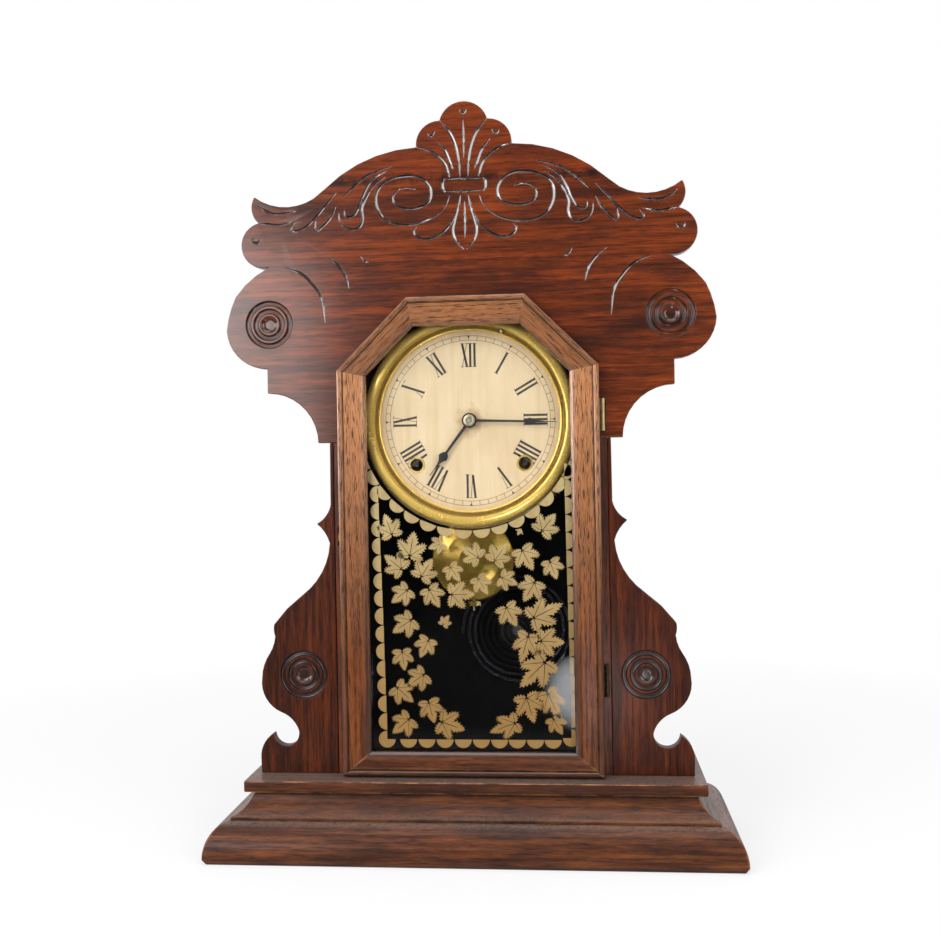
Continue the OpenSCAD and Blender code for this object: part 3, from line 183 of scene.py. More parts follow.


# Mask of corners and crevices, from ambient occlusion: old polish and dust gather there, and the mask also paints their
# shade
def makeCreviceDirtAndShade():
    tree, takes, gives = newGroup("creviceDirtAndShade", [
        ("Vector", "Vector", None), ("Reach", "Float", 0.006), ("Amount", "Float", 0.7)], [("Mask", "Float")])
    clear = put(tree, "ShaderNodeAmbientOcclusion", {"samples": 6}, {"Distance": takes["Reach"]}).outputs["AO"]
    deep = spread(tree, clear, 0.85, 0.25)
    patch = spread(tree, noise(tree, takes["Vector"], 90, 3), 0.3, 0.6, 0.5, 1)
    mask = times(tree, times(tree, deep, patch), takes["Amount"], True)
    tree.links.new(mask, gives["Mask"])


# Mask of the faces that close the inside of the case, which the finishes colour near black
def makeInsideCase():
    tree, takes, gives = newGroup("insideCase", [("Vector", "Vector", None)], [("Mask", "Float")])
    place = put(tree, "ShaderNodeSeparateXYZ", None, {0: takes["Vector"]}).outputs
    mask = maths(tree, "LESS_THAN", maths(tree, "ABSOLUTE", place["X"]), caseInside["half"])
    for axis, first, last in (("Y", "front", "back"), ("Z", "low", "high")):
        mask = times(tree, mask, maths(tree, "GREATER_THAN", place[axis], caseInside[first]))
        mask = times(tree, mask, maths(tree, "LESS_THAN", place[axis], caseInside[last]))
    tree.links.new(mask, gives["Mask"])


# Fine scratches and cloudy tarnish for metal
def makeTarnish():
    tree, takes, gives = newGroup("tarnish", [
        ("Vector", "Vector", None), ("Bright", "Color", srgb(215, 175, 105)), ("Dull", "Color", srgb(130, 95, 50)),
        ("Amount", "Float", 0.5), ("Polish", "Float", 0.25)],
        [("Color", "Color"), ("Rough", "Float"), ("Height", "Float")])
    cloud = noise(tree, takes["Vector"], 70, 5, 0.65)
    specks = spread(tree, noise(tree, takes["Vector"], 900, 2, 0.7), 0.62, 0.75)
    scratch = noise(tree, stretched(tree, takes["Vector"], 1, 1, 0.06), 2600, 2)
    dullMask = times(tree, spread(tree, cloud, 0.38, 0.66), takes["Amount"], True)
    color = blend(tree, dullMask, takes["Bright"], takes["Dull"])
    color = blend(tree, times(tree, specks, takes["Amount"]), color, srgb(60, 42, 26))
    tree.links.new(color, gives["Color"])
    rough = maths(tree, "ADD", takes["Polish"], times(tree, dullMask, 0.25))
    tree.links.new(maths(tree, "ADD", rough, times(tree, specks, 0.2)), gives["Rough"])
    tree.links.new(scratch, gives["Height"])


makeOakGrain()
makeEdgeWearAndSheen()
makeCreviceDirtAndShade()
makeInsideCase()
makeTarnish()
print("shared shader groups made")


def newFinish(name):
    finishes[name] = bpy.data.materials.new(name)
    finishes[name].use_nodes = True
    tree = finishes[name].node_tree
    tree.nodes.clear()
    return tree, put(tree, "ShaderNodeTexCoord").outputs["Object"]


def close(tree, shader):
    put(tree, "ShaderNodeOutputMaterial", None, {"Surface": shader})


def surface(tree, inputs):
    close(tree, put(tree, "ShaderNodeBsdfPrincipled", None, inputs).outputs[0])


# Where the woods change, in metres: the roundels' grooves, the crest's glued joints and the painted sheen on the door's
# top
roundelShade = {"reach": (0.0192, 0.0186), "below": (-0.0154, -0.0149), "above": (-0.0122, -0.0126),
                "color": srgb(26, 14, 12)}
crestJoints = {"top": (0.5018, 0.5022), "tint": srgb(132, 52, 12), "lines": ((0.502, 0.9), (0.440, 0.3)),
               "glue": srgb(35, 18, 12)}
# painted sheen: the pale colour laid over the door's upper part
paintedSheen = {"height": (0.14, 0.33), "color": srgb(188, 130, 86)}


def woodFinish(name, look):
    tree, place = newFinish(name)
    vector = put(tree, "ShaderNodeMapping", None,
                 {"Vector": place, "Rotation": look["turn"], "Location": look["pith"]}).outputs[0]
    keys = ("pale", "deep", "streak", "rings", "figure", "pores", "blotch")
    grain = shared(tree, "oakGrain", {"Vector": vector, **{key.capitalize(): look[key] for key in keys}})
    worn = shared(tree, "edgeWearAndSheen", {"Vector": place, "Radius": look.get("edge", 0.0012), "Patches": 60})["Mask"]
    dirt = shared(tree, "creviceDirtAndShade", {"Vector": place, "Reach": 0.005, "Amount": look.get("dirt", 0.6)})["Mask"]
    # wear and painted highlight: the edges take the pale worn colour
    color = blend(tree, times(tree, worn, look["wear"]), grain["Color"], look["worn"])
    shine = look.get("coat", 0.1)
    for spot in look.get("roundels", []):
        depth = along(tree, place, "Y")
        sunk = times(tree, spread(tree, depth, *roundelShade["below"]), spread(tree, depth, *roundelShade["above"]))
        within = times(tree, spread(tree, fromAxis(tree, place, spot), *roundelShade["reach"]), sunk)
        color = blend(tree, times(tree, within, look["ringShade"]), color, roundelShade["color"])
        shine = maths(tree, "MAXIMUM", within, shine)
    if "topBoard" in look:  # the uppermost board of the crest is another plank
        height = along(tree, place, "Z")
        upper = spread(tree, height, *crestJoints["top"], 0, look["topBoard"])
        color = blend(tree, times(tree, upper, spread(tree, grain["Height"], -0.3, 0.2)), color, crestJoints["tint"])
        for line, smeared in crestJoints["lines"]:
            gap = maths(tree, "ABSOLUTE", maths(tree, "SUBTRACT", height, line))
            color = blend(tree, spread(tree, gap, 0.0003, 0.0001, 0, 0.7), color, crestJoints["glue"])
            smear = times(tree, spread(tree, gap, 0.0062, 0.001),
                          spread(tree, noise(tree, place, 75, 4, 0.7), 0.4, 0.58, 0, smeared))
            color = blend(tree, smear, color, look["streak"])
    if "mould" in look:  # painted shade: the slanting faces of the door's mouldings are darkened by the way they face
        facing = put(tree, "ShaderNodeNewGeometry").outputs["True Normal"]
        slantShadeMask = spread(tree, along(tree, facing, "Y"), -0.97, -0.85)
        color = blend(tree, times(tree, slantShadeMask, look["mould"]), color, look["streak"])
        shine = maths(tree, "MAXIMUM", slantShadeMask, shine)
    if "faded" in look:  # painted sheen: a pale colour lightens the door's upper part
        height = along(tree, place, "Z")
        sheenMask = times(tree, spread(tree, height, *paintedSheen["height"], 0, look["faded"]),
                         spread(tree, grain["Height"], -0.35, 0.15, 0.1, 1))
        color = blend(tree, sheenMask, color, paintedSheen["color"])
    # dirt and painted shade: corners and crevices are darkened
    color = blend(tree, dirt, color, look.get("soil", srgb(28, 16, 12)))
    if "dust" in look:
        up = along(tree, put(tree, "ShaderNodeNewGeometry").outputs["Normal"], "Z")
        dusty = times(tree, spread(tree, up, 0.8, 0.97, 0, look["dust"]),
                      spread(tree, noise(tree, place, 420, 4, 0.7), 0.35, 0.6, 0.3, 1))
        color = blend(tree, dusty, color, srgb(150, 132, 122))
    rough = grain["Rough"]
    if look.get("inside"):
        inner = shared(tree, "insideCase", {"Vector": place})["Mask"]
        color = blend(tree, inner, color, srgb(8, 7, 8))
        rough = maths(tree, "ADD", rough, times(tree, inner, 0.5))
    surface(tree, {
        "Base Color": color, "Roughness": rough, "Normal": bumped(tree, grain["Height"], 0.35, 0.00015),
        "Specular IOR Level": look.get("gloss", 0.25), "Coat Weight": shine,
        "Coat Roughness": look.get("coatRough", 0.2)})


alongX = (0.0, math.radians(-90), 0.0)
alongY = (math.radians(90), 0.0, 0.0)
alongZ = (0.0, 0.0, 0.0)
slantRight = (0.0, math.radians(45), 0.0)
slantLeft = (0.0, math.radians(-45), 0.0)

crestLook = {
    "turn": alongX, "pith": (0.02, 0.05, 0.1), "pale": srgb(126, 53, 15), "deep": srgb(76, 31, 10),
    "streak": srgb(34, 13, 9), "rings": 45, "figure": 12, "pores": 0.5, "blotch": 0.8,
    "wear": 0.3, "worn": srgb(158, 86, 42), "coat": 0.8, "gloss": 0.08, "coatRough": 0.15, "topBoard": 0.3,
    "dirt": 0.7, "ringShade": 0.35, "roundels": [(151, 395.9), (-151, 395.9)]}
wingLook = {
    "turn": alongZ, "pith": (0.03, 0.06, 0.0), "pale": srgb(100, 44, 16), "deep": srgb(56, 23, 10),
    "streak": srgb(26, 10, 7), "rings": 60, "figure": 8, "pores": 0.8, "blotch": 0.7, "ringShade": 0.72,
    "wear": 0.3, "worn": srgb(134, 74, 38), "coat": 0.12, "gloss": 0.1, "roundels": [(128.8, 129.3), (-128.8, 129.3)]}
baseLook = {
    "turn": alongX, "pith": (0.05, 0.04, 0.0), "pale": srgb(112, 62, 31), "deep": srgb(72, 35, 17),
    "streak": srgb(28, 13, 8), "rings": 60, "figure": 9, "pores": 0.75, "blotch": 0.8,
    "wear": 0.85, "worn": srgb(176, 116, 70), "edge": 0.0016, "dust": 0.45, "gloss": 0.15}
sideLook = {
    "turn": alongZ, "pith": (0.0, 0.05, 0.0), "pale": srgb(124, 62, 28), "deep": srgb(82, 38, 17),
    "streak": srgb(30, 13, 8), "rings": 70, "figure": 7, "pores": 0.75, "blotch": 0.6,
    "wear": 0.4, "worn": srgb(140, 86, 52), "inside": True}
doorLook = {
    "turn": alongZ, "pith": (0.04, 0.07, 0.0), "pale": srgb(122, 65, 27), "deep": srgb(76, 37, 15),
    "streak": srgb(36, 16, 9), "rings": 80, "figure": 7, "pores": 0.9, "blotch": 0.5,
    "wear": 0.8, "worn": srgb(200, 144, 94), "edge": 0.0014, "faded": 0.68, "mould": 0.55, "gloss": 0.15, "dirt": 0.95}
rawLook = {
    "turn": alongZ, "pith": (0.03, 0.05, 0.0), "pale": srgb(176, 138, 92), "deep": srgb(140, 100, 62),
    "streak": srgb(100, 68, 42), "rings": 60, "figure": 9, "pores": 0.5, "blotch": 0.4,
    "wear": 0.0, "worn": srgb(180, 140, 100), "coat": 0.0, "gloss": 0.15, "inside": True}

woodLooks = {
    "crestOak": crestLook, "wingOak": wingLook, "baseOak": baseLook,
    "shelfOak": {**baseLook, "pith": (0.02, 0.06, 0.3), "pale": srgb(98, 52, 25), "deep": srgb(62, 30, 14),
                 "inside": True},
    "returnOak": {**baseLook, "turn": alongY},
    "sideOak": sideLook, "topOak": {**sideLook, "turn": alongX},
    "stileOak": doorLook, "topRailOak": {**doorLook, "turn": alongX, "faded": 0.35},
    "lowRailOak": {**doorLook, "turn": alongX, "pale": srgb(112, 62, 30), "deep": srgb(76, 38, 17)},
    "slantOakLeft": {**doorLook, "turn": slantLeft, "faded": 0.3},
    "slantOakRight": {**doorLook, "turn": slantRight, "faded": 0.3},
    "backOak": rawLook, "rawOak": {**rawLook, "turn": alongX},
}
for name, look in woodLooks.items():
    woodFinish(name, look)
print("wood finishes made")


def metalFinish(name, look):
    tree, place = newFinish(name)
    worn = shared(tree, "tarnish", {
        "Vector": place, "Bright": look["bright"], "Dull": look["dull"],
        "Amount": look["tarnish"], "Polish": look["polish"]})
    soil = shared(tree, "creviceDirtAndShade", {
        "Vector": place, "Reach": look.get("reach", 0.003), "Amount": look.get("dirt", 0.6)})["Mask"]
    # dirt and painted shade: corners and crevices are darkened
    color = blend(tree, soil, worn["Color"], look.get("soil", srgb(45, 30, 18)))
    if "ring" in look:  # the cove between the ring's two mouldings has gone dark
        away = fromAxis(tree, place, dialCentre)
        cove = times(tree, spread(tree, away, 0.0700, 0.0707), spread(tree, away, 0.0735, 0.0722))
        color = blend(tree, times(tree, cove, 0.85), color, look["ring"])
    if "shadeBelow" in look:  # painted shade: the lower hinge is coloured as dark as the wood about it
        low = spread(tree, along(tree, place, "Z"), look["shadeBelow"], look["shadeBelow"] - 0.01, 0, 0.92)
        color = blend(tree, low, color, srgb(34, 22, 16))
    rough = worn["Rough"]
    if "sooty" in look:  # the gong's inner turns are painted black, partly for soot and partly as painted shade, and only the outer ones gleam
        within = spread(tree, fromAxis(tree, place, gongCentre), look["sooty"], look["sooty"] - 0.001)
        color = blend(tree, within, color, srgb(4, 4, 4))
        rough = maths(tree, "MAXIMUM", rough, within)
    surface(tree, {
        "Base Color": color, "Roughness": rough, "Metallic": look.get("metal", 1.0),
        "Normal": bumped(tree, worn["Height"], look.get("bump", 0.08))})


metalLooks = {
    "brass": {"bright": srgb(206, 168, 92), "dull": srgb(140, 104, 52), "tarnish": 0.6, "polish": 0.22},
    "ringBrass": {"bright": srgb(236, 202, 108), "dull": srgb(206, 166, 80), "tarnish": 0.3, "polish": 0.2,
                  "ring": srgb(88, 64, 28), "dirt": 0.45, "soil": srgb(96, 74, 30), "metal": 0.6},
    "bobBrass": {"bright": srgb(138, 112, 44), "dull": srgb(110, 86, 34), "tarnish": 0.1, "polish": 0.2,
                 "dirt": 0.3, "metal": 0.7},
    "colletMetal": {"bright": srgb(190, 180, 150), "dull": srgb(120, 106, 80), "tarnish": 0.5, "polish": 0.32,
                    "reach": 0.0012, "dirt": 1.0, "soil": srgb(64, 48, 28)},
    "hingeBrass": {"bright": srgb(204, 182, 132), "dull": srgb(150, 124, 80), "tarnish": 0.6, "polish": 0.42,
                   "metal": 0.8, "shadeBelow": 0.2},
    "windingSteel": {"bright": srgb(58, 56, 54), "dull": srgb(30, 28, 26), "tarnish": 0.8, "polish": 0.35,
                     "soil": srgb(12, 10, 9), "metal": 0.6},
    "eyeletBrass": {"bright": srgb(232, 204, 132), "dull": srgb(200, 164, 92), "tarnish": 0.5, "polish": 0.25,
                    "dirt": 0.0},
    "plateBrass": {"bright": srgb(196, 156, 88), "dull": srgb(120, 88, 46), "tarnish": 0.75, "polish": 0.34},
    "steel": {"bright": srgb(170, 168, 165), "dull": srgb(104, 98, 92), "tarnish": 0.7, "polish": 0.35,
              "soil": srgb(50, 40, 34)},
    "bluedSteel": {"bright": srgb(50, 46, 50), "dull": srgb(28, 24, 25), "tarnish": 0.7, "polish": 0.4,
                   "metal": 0.6, "soil": srgb(30, 24, 20)},
    "gongSteel": {"bright": srgb(40, 40, 44), "dull": srgb(16, 15, 16), "tarnish": 0.6, "polish": 0.22,
                  "metal": 0.5, "soil": srgb(10, 9, 9), "sooty": 0.0335},
    "castIron": {"bright": srgb(44, 43, 43), "dull": srgb(30, 28, 27), "tarnish": 0.6, "polish": 0.5,
                 "metal": 0.3, "bump": 0.3, "soil": srgb(52, 38, 28)},
    "whiteMetal": {"bright": srgb(232, 230, 224), "dull": srgb(180, 174, 164), "tarnish": 0.5, "polish": 0.3},
}
for name, look in metalLooks.items():
    metalFinish(name, look)
print("metal finishes made")


# Cream paint with faint upright streaks and a warm brown halo round the hands' arbor
def makeDialPaint():
    look = {"cream": srgb(199, 180, 147), "aged": srgb(180, 152, 112), "halo": srgb(146, 106, 64)}
    tree, place = newFinish("dialPaint")
    streak = noise(tree, stretched(tree, place, 1, 1, 0.08), 160, 4, 0.6)
    cloud = noise(tree, place, 28, 4, 0.6)
    color = blend(tree, spread(tree, streak, 0.4, 0.75, 0, 0.55), look["cream"], look["aged"])
    color = blend(tree, spread(tree, cloud, 0.45, 0.75, 0, 0.4), color, look["aged"])
    away = distance(tree, place, (dialCentre[0] * mm, dialFace * mm, dialCentre[1] * mm))
    ragged = maths(tree, "ADD", away, spread(tree, noise(tree, place, 220, 3), 0.3, 0.7, -0.0035, 0.0035))
    color = blend(tree, spread(tree, ragged, 0.013, 0.005, 0, 0.5), color, look["halo"])
    color = blend(tree, spread(tree, away, 0.062, 0.0685, 0, 0.3), color, look["halo"])
    specks = spread(tree, noise(tree, place, 1400, 2, 0.8), 0.7, 0.78, 0, 0.5)
    color = blend(tree, specks, color, srgb(110, 84, 56))
    surface(tree, {
        "Base Color": color, "Roughness": spread(tree, cloud, 0.3, 0.7, 0.38, 0.55),
        "Normal": bumped(tree, streak, 0.06), "Specular IOR Level": 0.3})


# Black printing ink, thin and brown where it has rubbed away
def makeInk():
    tree, place = newFinish("ink")
    rubbed = spread(tree, noise(tree, place, 420, 4, 0.7), 0.5, 0.72, 0, 0.5)
    color = blend(tree, rubbed, srgb(30, 27, 24), srgb(104, 86, 62))
    surface(tree, {"Base Color": color, "Roughness": spread(tree, rubbed, 0, 0.5, 0.4, 0.6)})


# Gilding behind the glass with small worn places, browner towards the bottom
def makeGilt():
    tree, place = newFinish("gilt")
    cloud = noise(tree, place, 95, 5, 0.65)
    grit = noise(tree, place, 1100, 3, 0.7)
    height = along(tree, place, "Z")
    color = blend(tree, spread(tree, height, 0.10, 0.25), srgb(204, 168, 104), srgb(228, 212, 164))
    color = blend(tree, spread(tree, cloud, 0.36, 0.66, 0, 0.35), color, srgb(176, 140, 84))
    color = blend(tree, spread(tree, grit, 0.58, 0.72, 0, 0.6), color, srgb(140, 104, 58))
    surface(tree, {
        "Base Color": color, "Metallic": 0.1, "Roughness": spread(tree, cloud, 0.3, 0.7, 0.38, 0.55),
        "Normal": bumped(tree, grit, 0.2)})


# Old sheet glass with a little haze; its shadow lets the light through
def makeGlass():
    tree, place = newFinish("clearGlass")
    haze = spread(tree, noise(tree, place, 36, 4, 0.6), 0.45, 0.75, 0.0, 0.04)
    wave = noise(tree, place, 14, 1)
    clear = put(tree, "ShaderNodeBsdfPrincipled", None, {
        "Base Color": (1, 1, 1, 1), "Roughness": haze, "Metallic": 0.0, "Transmission Weight": 1.0,
        "IOR": 1.25, "Normal": bumped(tree, wave, 0.03, 0.001)}).outputs[0]
    through = put(tree, "ShaderNodeBsdfTransparent", None, {"Color": (0.98, 0.99, 0.98, 1)}).outputs[0]
    shadow = put(tree, "ShaderNodeLightPath").outputs["Is Shadow Ray"]
    close(tree, mixed(tree, shadow, clear, through))


# Hollows of the carving, where black polish has gathered and still shines
def makeGroove():
    tree, place = newFinish("carvedGroove")
    cloud = noise(tree, place, 240, 3, 0.6)
    color = blend(tree, spread(tree, cloud, 0.4, 0.65), srgb(30, 16, 16), srgb(66, 40, 34))
    surface(tree, {
        "Base Color": color, "Roughness": spread(tree, cloud, 0.3, 0.7, 0.14, 0.3),
        "Specular IOR Level": 0.5, "Coat Weight": 1.0, "Coat IOR": 1.85,
        "Coat Roughness": spread(tree, cloud, 0.35, 0.65, 0.05, 0.16)})


makeDialPaint()
makeInk()
makeGilt()
makeGlass()
makeGroove()
print("other finishes made")


def meshFrom(shape, name):
    mesh = bpy.data.meshes.new(name)
    shape.to_mesh(mesh)
    shape.free()
    return mesh


def addObject(name, data):
    thing = bpy.data.objects.new(name, data)
    bpy.context.scene.collection.objects.link(thing)
    return thing


def smooth(mesh):
    mesh.shade_smooth()
    mesh.set_sharp_from_angle(angle=math.radians(35))


def addPiece(name, shape, finishNames, body):
    bmesh.ops.recalc_face_normals(shape, faces=shape.faces)
    mesh = meshFrom(shape, name)
    for finish in finishNames:
        mesh.materials.append(finishes[finish])
    smooth(mesh)
    piece = addObject(name, mesh)
    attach(piece, body)
    return piece


# A merged copy of a CAD node with its sharp edges rounded over
def softenedShape(nodeName, width):
    shape = bmesh.new()
    shape.from_mesh(nodes[nodeName].data)
    bmesh.ops.remove_doubles(shape, verts=shape.verts, dist=2e-6)
    bmesh.ops.dissolve_limit(shape, angle_limit=math.radians(1), verts=shape.verts, edges=shape.edges)
    sharp = [edge for edge in shape.edges
             if len(edge.link_faces) == 2 and edge.calc_face_angle(0) > math.radians(30)]
    bmesh.ops.bevel(shape, geom=sharp, offset=width, offset_type="OFFSET", segments=2, profile=0.5,
                    affect="EDGES", clamp_overlap=False, material=-1)
    return shape


def weighNormals(piece):
    piece.modifiers.new("weightedNormal", "WEIGHTED_NORMAL").keep_sharp = True


def softened(nodeName, width, finish, body, slotName):
    first, *others = nodeName.split("_")
    name = first + "".join(word.capitalize() for word in others)
    piece = addPiece(name, softenedShape(nodeName, width * mm), [finish], body)
    weighNormals(piece)
    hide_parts(nodeName)


# Boards with their edges' rounding in mm; each piece has its node's name in camel case
boards = [
    ("wing_left", 0.7, "wingOak", "case", "wing_oak"),
    ("wing_right", 0.7, "wingOak", "case", "wing_oak"),
    ("case_side_left", 0.5, "sideOak", "case", "case_oak"),
    ("case_side_right", 0.5, "sideOak", "case", "case_oak"),
    ("case_top", 0.4, "topOak", "case", "case_oak"),
    ("shelf_board", 0.9, "shelfOak", "case", "base_oak"),
    ("cove_front", 0.5, "baseOak", "case", "base_oak"),
    ("cove_returns", 0.5, "returnOak", "case", "base_oak"),
    ("plinth_front", 0.6, "baseOak", "case", "base_oak"),
    ("plinth_returns", 0.6, "returnOak", "case", "base_oak"),
    ("door_stile_left", 0.35, "stileOak", "door", "door_oak"),
    ("door_stile_right", 0.35, "stileOak", "door", "door_oak"),
    ("door_bottom_rail", 0.35, "lowRailOak", "door", "door_oak"),
    ("door_top_rail", 0.35, "topRailOak", "door", "door_oak"),
    ("door_slant_left", 0.35, "slantOakLeft", "door", "door_oak"),
    ("door_slant_right", 0.35, "slantOakRight", "door", "door_oak"),
]
for board in boards:
    softened(*board)
print("boards softened")


# The crest's carved lines from their starts, as x and z in mm; "pairs" are also cut mirrored
crestCarving = {
    "soft": 0.6, "radius": 1.15, "proud": 0.3,
    "pairs": [
        [(11, 489), (14, 481), (21.6, 474), (31.7, 469.5), (45, 467.8), (57, 470.6), (64, 477), (67, 489), (64, 497),
         (56, 502.3), (45, 504.5), (35, 503.5), (27.5, 498), (25, 490), (28, 483.5), (35, 480.5), (44, 480),
         (51.5, 482.5), (54, 488), (51, 493.3), (45, 495.4), (37, 494.2)],
        [(18, 545.3), (11, 537), (6.7, 528), (3.9, 516), (3, 502.6)],
        [(20, 530), (14, 522.5), (9.8, 512), (8, 508)],
        [(36, 525.9), (27.3, 523.5), (19, 518), (14, 512), (11.5, 504.5), (10.7, 502)],
        [(2.6, 489.8), (4.5, 480.2), (7.3, 470.3), (8.9, 461.6), (6.4, 454), (0.9, 447.8)],
        [(4.5, 480), (11, 467), (20.4, 459), (29.8, 456.4), (36, 458.5), (38.5, 463), (36, 466.6)],
        [(58, 509), (70, 502), (76, 493), (80, 483), (86, 475.5), (90.4, 476), (91.5, 481)],
        [(95.9, 480), (94.6, 472), (88.5, 466.5), (81, 466.8), (77.5, 472.5), (77.8, 481.5), (74.5, 489.5),
         (69, 497.5), (60, 504)],
        [(54, 512.4), (71.8, 506.9), (82, 499.8), (92.4, 490.2)],
        [(97.4, 494), (105, 485.7), (114.6, 475), (123.9, 467.8), (132.3, 467), (129.3, 473.5)],
        [(97.6, 484), (102, 475.5), (109.5, 468), (112.5, 466.2), (113.4, 475)],
        [(157.6, 487), (152.6, 482.7), (146, 479.9), (137, 480.2), (128.8, 481.3)],
        [(158.5, 473.5), (151, 472.3), (142, 471.4), (131.7, 473.8)],
        [(105, 445.7), (97.7, 439.8), (91.5, 431), (88.7, 421.2)],
        [(80, 446.8), (76.2, 441.5), (73.6, 440.7)],
        [(137.7, 439), (125.8, 434), (116.4, 425), (110.8, 416.3), (107.6, 396)],
        [(14, 501.5), (15.6, 499.5), (15.6, 493), (14, 491)],
        [(21.6, 537.8), (23.0, 534.6), (25.2, 533.9), (27.0, 536.6)],
        [(156.4, 462.4), (157.8, 459.2), (160.3, 458.3), (162.4, 461.0), (161.6, 462.8)],
    ],
    "middle": [
        [(0, 544.8), (0.2, 530), (0, 516.2)],
        [(0, 484), (0.2, 470), (0, 456.6)],
        [(-13.5, 500.8), (0, 501.1), (13.5, 500.8)],
        [(-13.5, 491.8), (0, 491.5), (13.5, 491.8)],
        [(-2.8, 553.6), (-1.2, 550.6), (1.0, 550.2), (2.6, 553.2)],
    ],
}


def evaluated(thing):
    bpy.context.view_layer.update()
    return bpy.data.meshes.new_from_object(thing.evaluated_get(bpy.context.evaluated_depsgraph_get()))


def carvedTubes(carving):
    curve = bpy.data.curves.new("carvedTubes", "CURVE")
    curve.dimensions = "3D"
    curve.bevel_depth = carving["radius"] * mm
    curve.bevel_resolution = 3
    curve.resolution_u = 5
    curve.use_fill_caps = True
    mirrored = [[(-x, z) for x, z in line] for line in carving["pairs"]]
    for line in carving["pairs"] + mirrored + carving["middle"]:
        spline = curve.splines.new("BEZIER")
        spline.bezier_points.add(len(line) - 1)
        for index, (x, z) in enumerate(line):
            point = spline.bezier_points[index]
            point.co = (x * mm, (boardFace - carving["proud"]) * mm, z * mm)
            point.handle_left_type = point.handle_right_type = "AUTO"
            share = index / (len(line) - 1)
            point.radius = 0.35 + 0.75 * min(1, 4 * share, 4 * (1 - share))
    tubes = addObject("carvedTubes", curve)
    mesh = evaluated(tubes)
    bpy.data.objects.remove(tubes)
    bpy.data.curves.remove(curve)
    mesh.materials.clear()
    mesh.materials.append(finishes["carvedGroove"])
    return addObject("carvedCutter", mesh)


def carveCrest(carving):
    crest = addPiece("crestBoard", softenedShape("crest_board", carving["soft"] * mm), ["crestOak", "carvedGroove"],
                     "case")
    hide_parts("crest_board")
    cutter = carvedTubes(carving)
    cut = crest.modifiers.new("carve", "BOOLEAN")
    cut.operation = "DIFFERENCE"
    cut.solver = "EXACT"
    cut.use_self = True
    cut.material_mode = "TRANSFER"
    cut.object = cutter
    mesh = evaluated(crest)
    crest.modifiers.clear()
    crest.data = mesh
    bpy.data.objects.remove(cutter)
    smooth(mesh)
    weighNormals(crest)
    print("crest carved,", len(mesh.polygons), "faces")


carveCrest(crestCarving)


# A thin flat bar between two points of a plane: one stroke of the printing
def strokeInto(shape, start, end, wide, thick, matrix):
    length = math.dist(start, end)
    angle = math.atan2(end[0] - start[0], end[1] - start[1])
    middle = Vector(((start[0] + end[0]) / 2, 0, (start[1] + end[1]) / 2))
    place = matrix @ Matrix.Translation(middle) @ Matrix.Rotation(angle, 4, "Y")
    scale = Matrix.Diagonal((wide, thick, length, 1))
    bmesh.ops.create_cube(shape, size=1, matrix=place @ scale)


# The dial's numerals and minute track in mm; "worn" has the hours with a stroke partly rubbed away
dialLook = {
    "thick": 0.06, "foot": 40.8, "tall": 18.1, "bold": 1.7, "fine": 0.42, "step": 3.3, "xWide": 5.4, "vWide": 5.2,
    "serif": 1.3, "iSerif": 1.5, "inset": 0.9, "vFoot": 0.6, "vRubbed": 0.45, "xRubbed": (0.35, 0.32),
    "minute": 0.34, "mark": 1.25, "markIn": 0.75,
    "hours": ["I", "II", "III", "IIII", "V", "VI", "VII", "VIII", "IX", "X", "XI", "XII"],
    "track": (61.2, 64.7), "line": 0.3, "worn": (5, 10)}


def numeralStrokes(letters, look, hour):
    # one numeral's thick and thin strokes, centred on x = 0 and standing on z = 0
    widths = {"I": look["step"], "V": look["vWide"], "X": look["xWide"]}
    x = -sum(widths[letter] for letter in letters) / 2
    tall, bold, fine = look["tall"], look["bold"], look["fine"]
    ends = (fine / 2, tall - fine / 2)
    strokes = []

    def serifs(middles, heights, reach):
        for middle in middles:
            for z in heights:
                strokes.append(((middle - reach, z), (middle + reach, z), fine))

    for letter in letters:
        middle = x + widths[letter] / 2
        if letter == "I":
            strokes.append(((middle, 0), (middle, tall), bold))
            serifs([middle], ends, look["iSerif"])
        reach = widths[letter] / 2 - look["inset"]
        if letter == "V":
            foot = look["vFoot"]
            strokes.append(((middle - reach, tall), (middle + 0.1, foot), bold))
            gap = tall * look["vRubbed"] if hour in look["worn"] else foot
            strokes.append(((middle + reach, tall), (middle + 0.2 + (gap - foot) * 0.1, gap), fine))
            serifs((middle - reach, middle + reach), ends[1:], look["serif"])
        if letter == "X":
            strokes.append(((middle - reach, tall), (middle + reach, 0), bold))
            if hour in look["worn"]:
                across, up = look["xRubbed"]
                strokes.append(((middle - reach, 0), (middle - reach * across, tall * up), fine))
            else:
                strokes.append(((middle - reach, 0), (middle + reach, tall), fine))
            serifs((middle - reach, middle + reach), ends, look["serif"])
        x += widths[letter]
    return strokes


def ringInto(shape, radius, wide, thick, centre):
    # a flat ring: a small section spun round the dial's axis
    part = bmesh.new()
    section = ((-1, 0), (1, 0), (1, -thick), (-1, -thick))
    corners = [part.verts.new((radius + dx * wide / 2, dy, 0)) for dx, dy in section]
    edges = [part.edges.new((corners[i], corners[(i + 1) % 4])) for i in range(4)]
    bmesh.ops.spin(part, geom=corners + edges, cent=(0, 0, 0), axis=(0, 1, 0), angle=math.tau, steps=120,
                   use_merge=True)
    bmesh.ops.recalc_face_normals(part, faces=part.faces)
    bmesh.ops.translate(part, vec=centre, verts=part.verts)
    mesh = meshFrom(part, "ringPart")
    shape.from_mesh(mesh)
    bpy.data.meshes.remove(mesh)


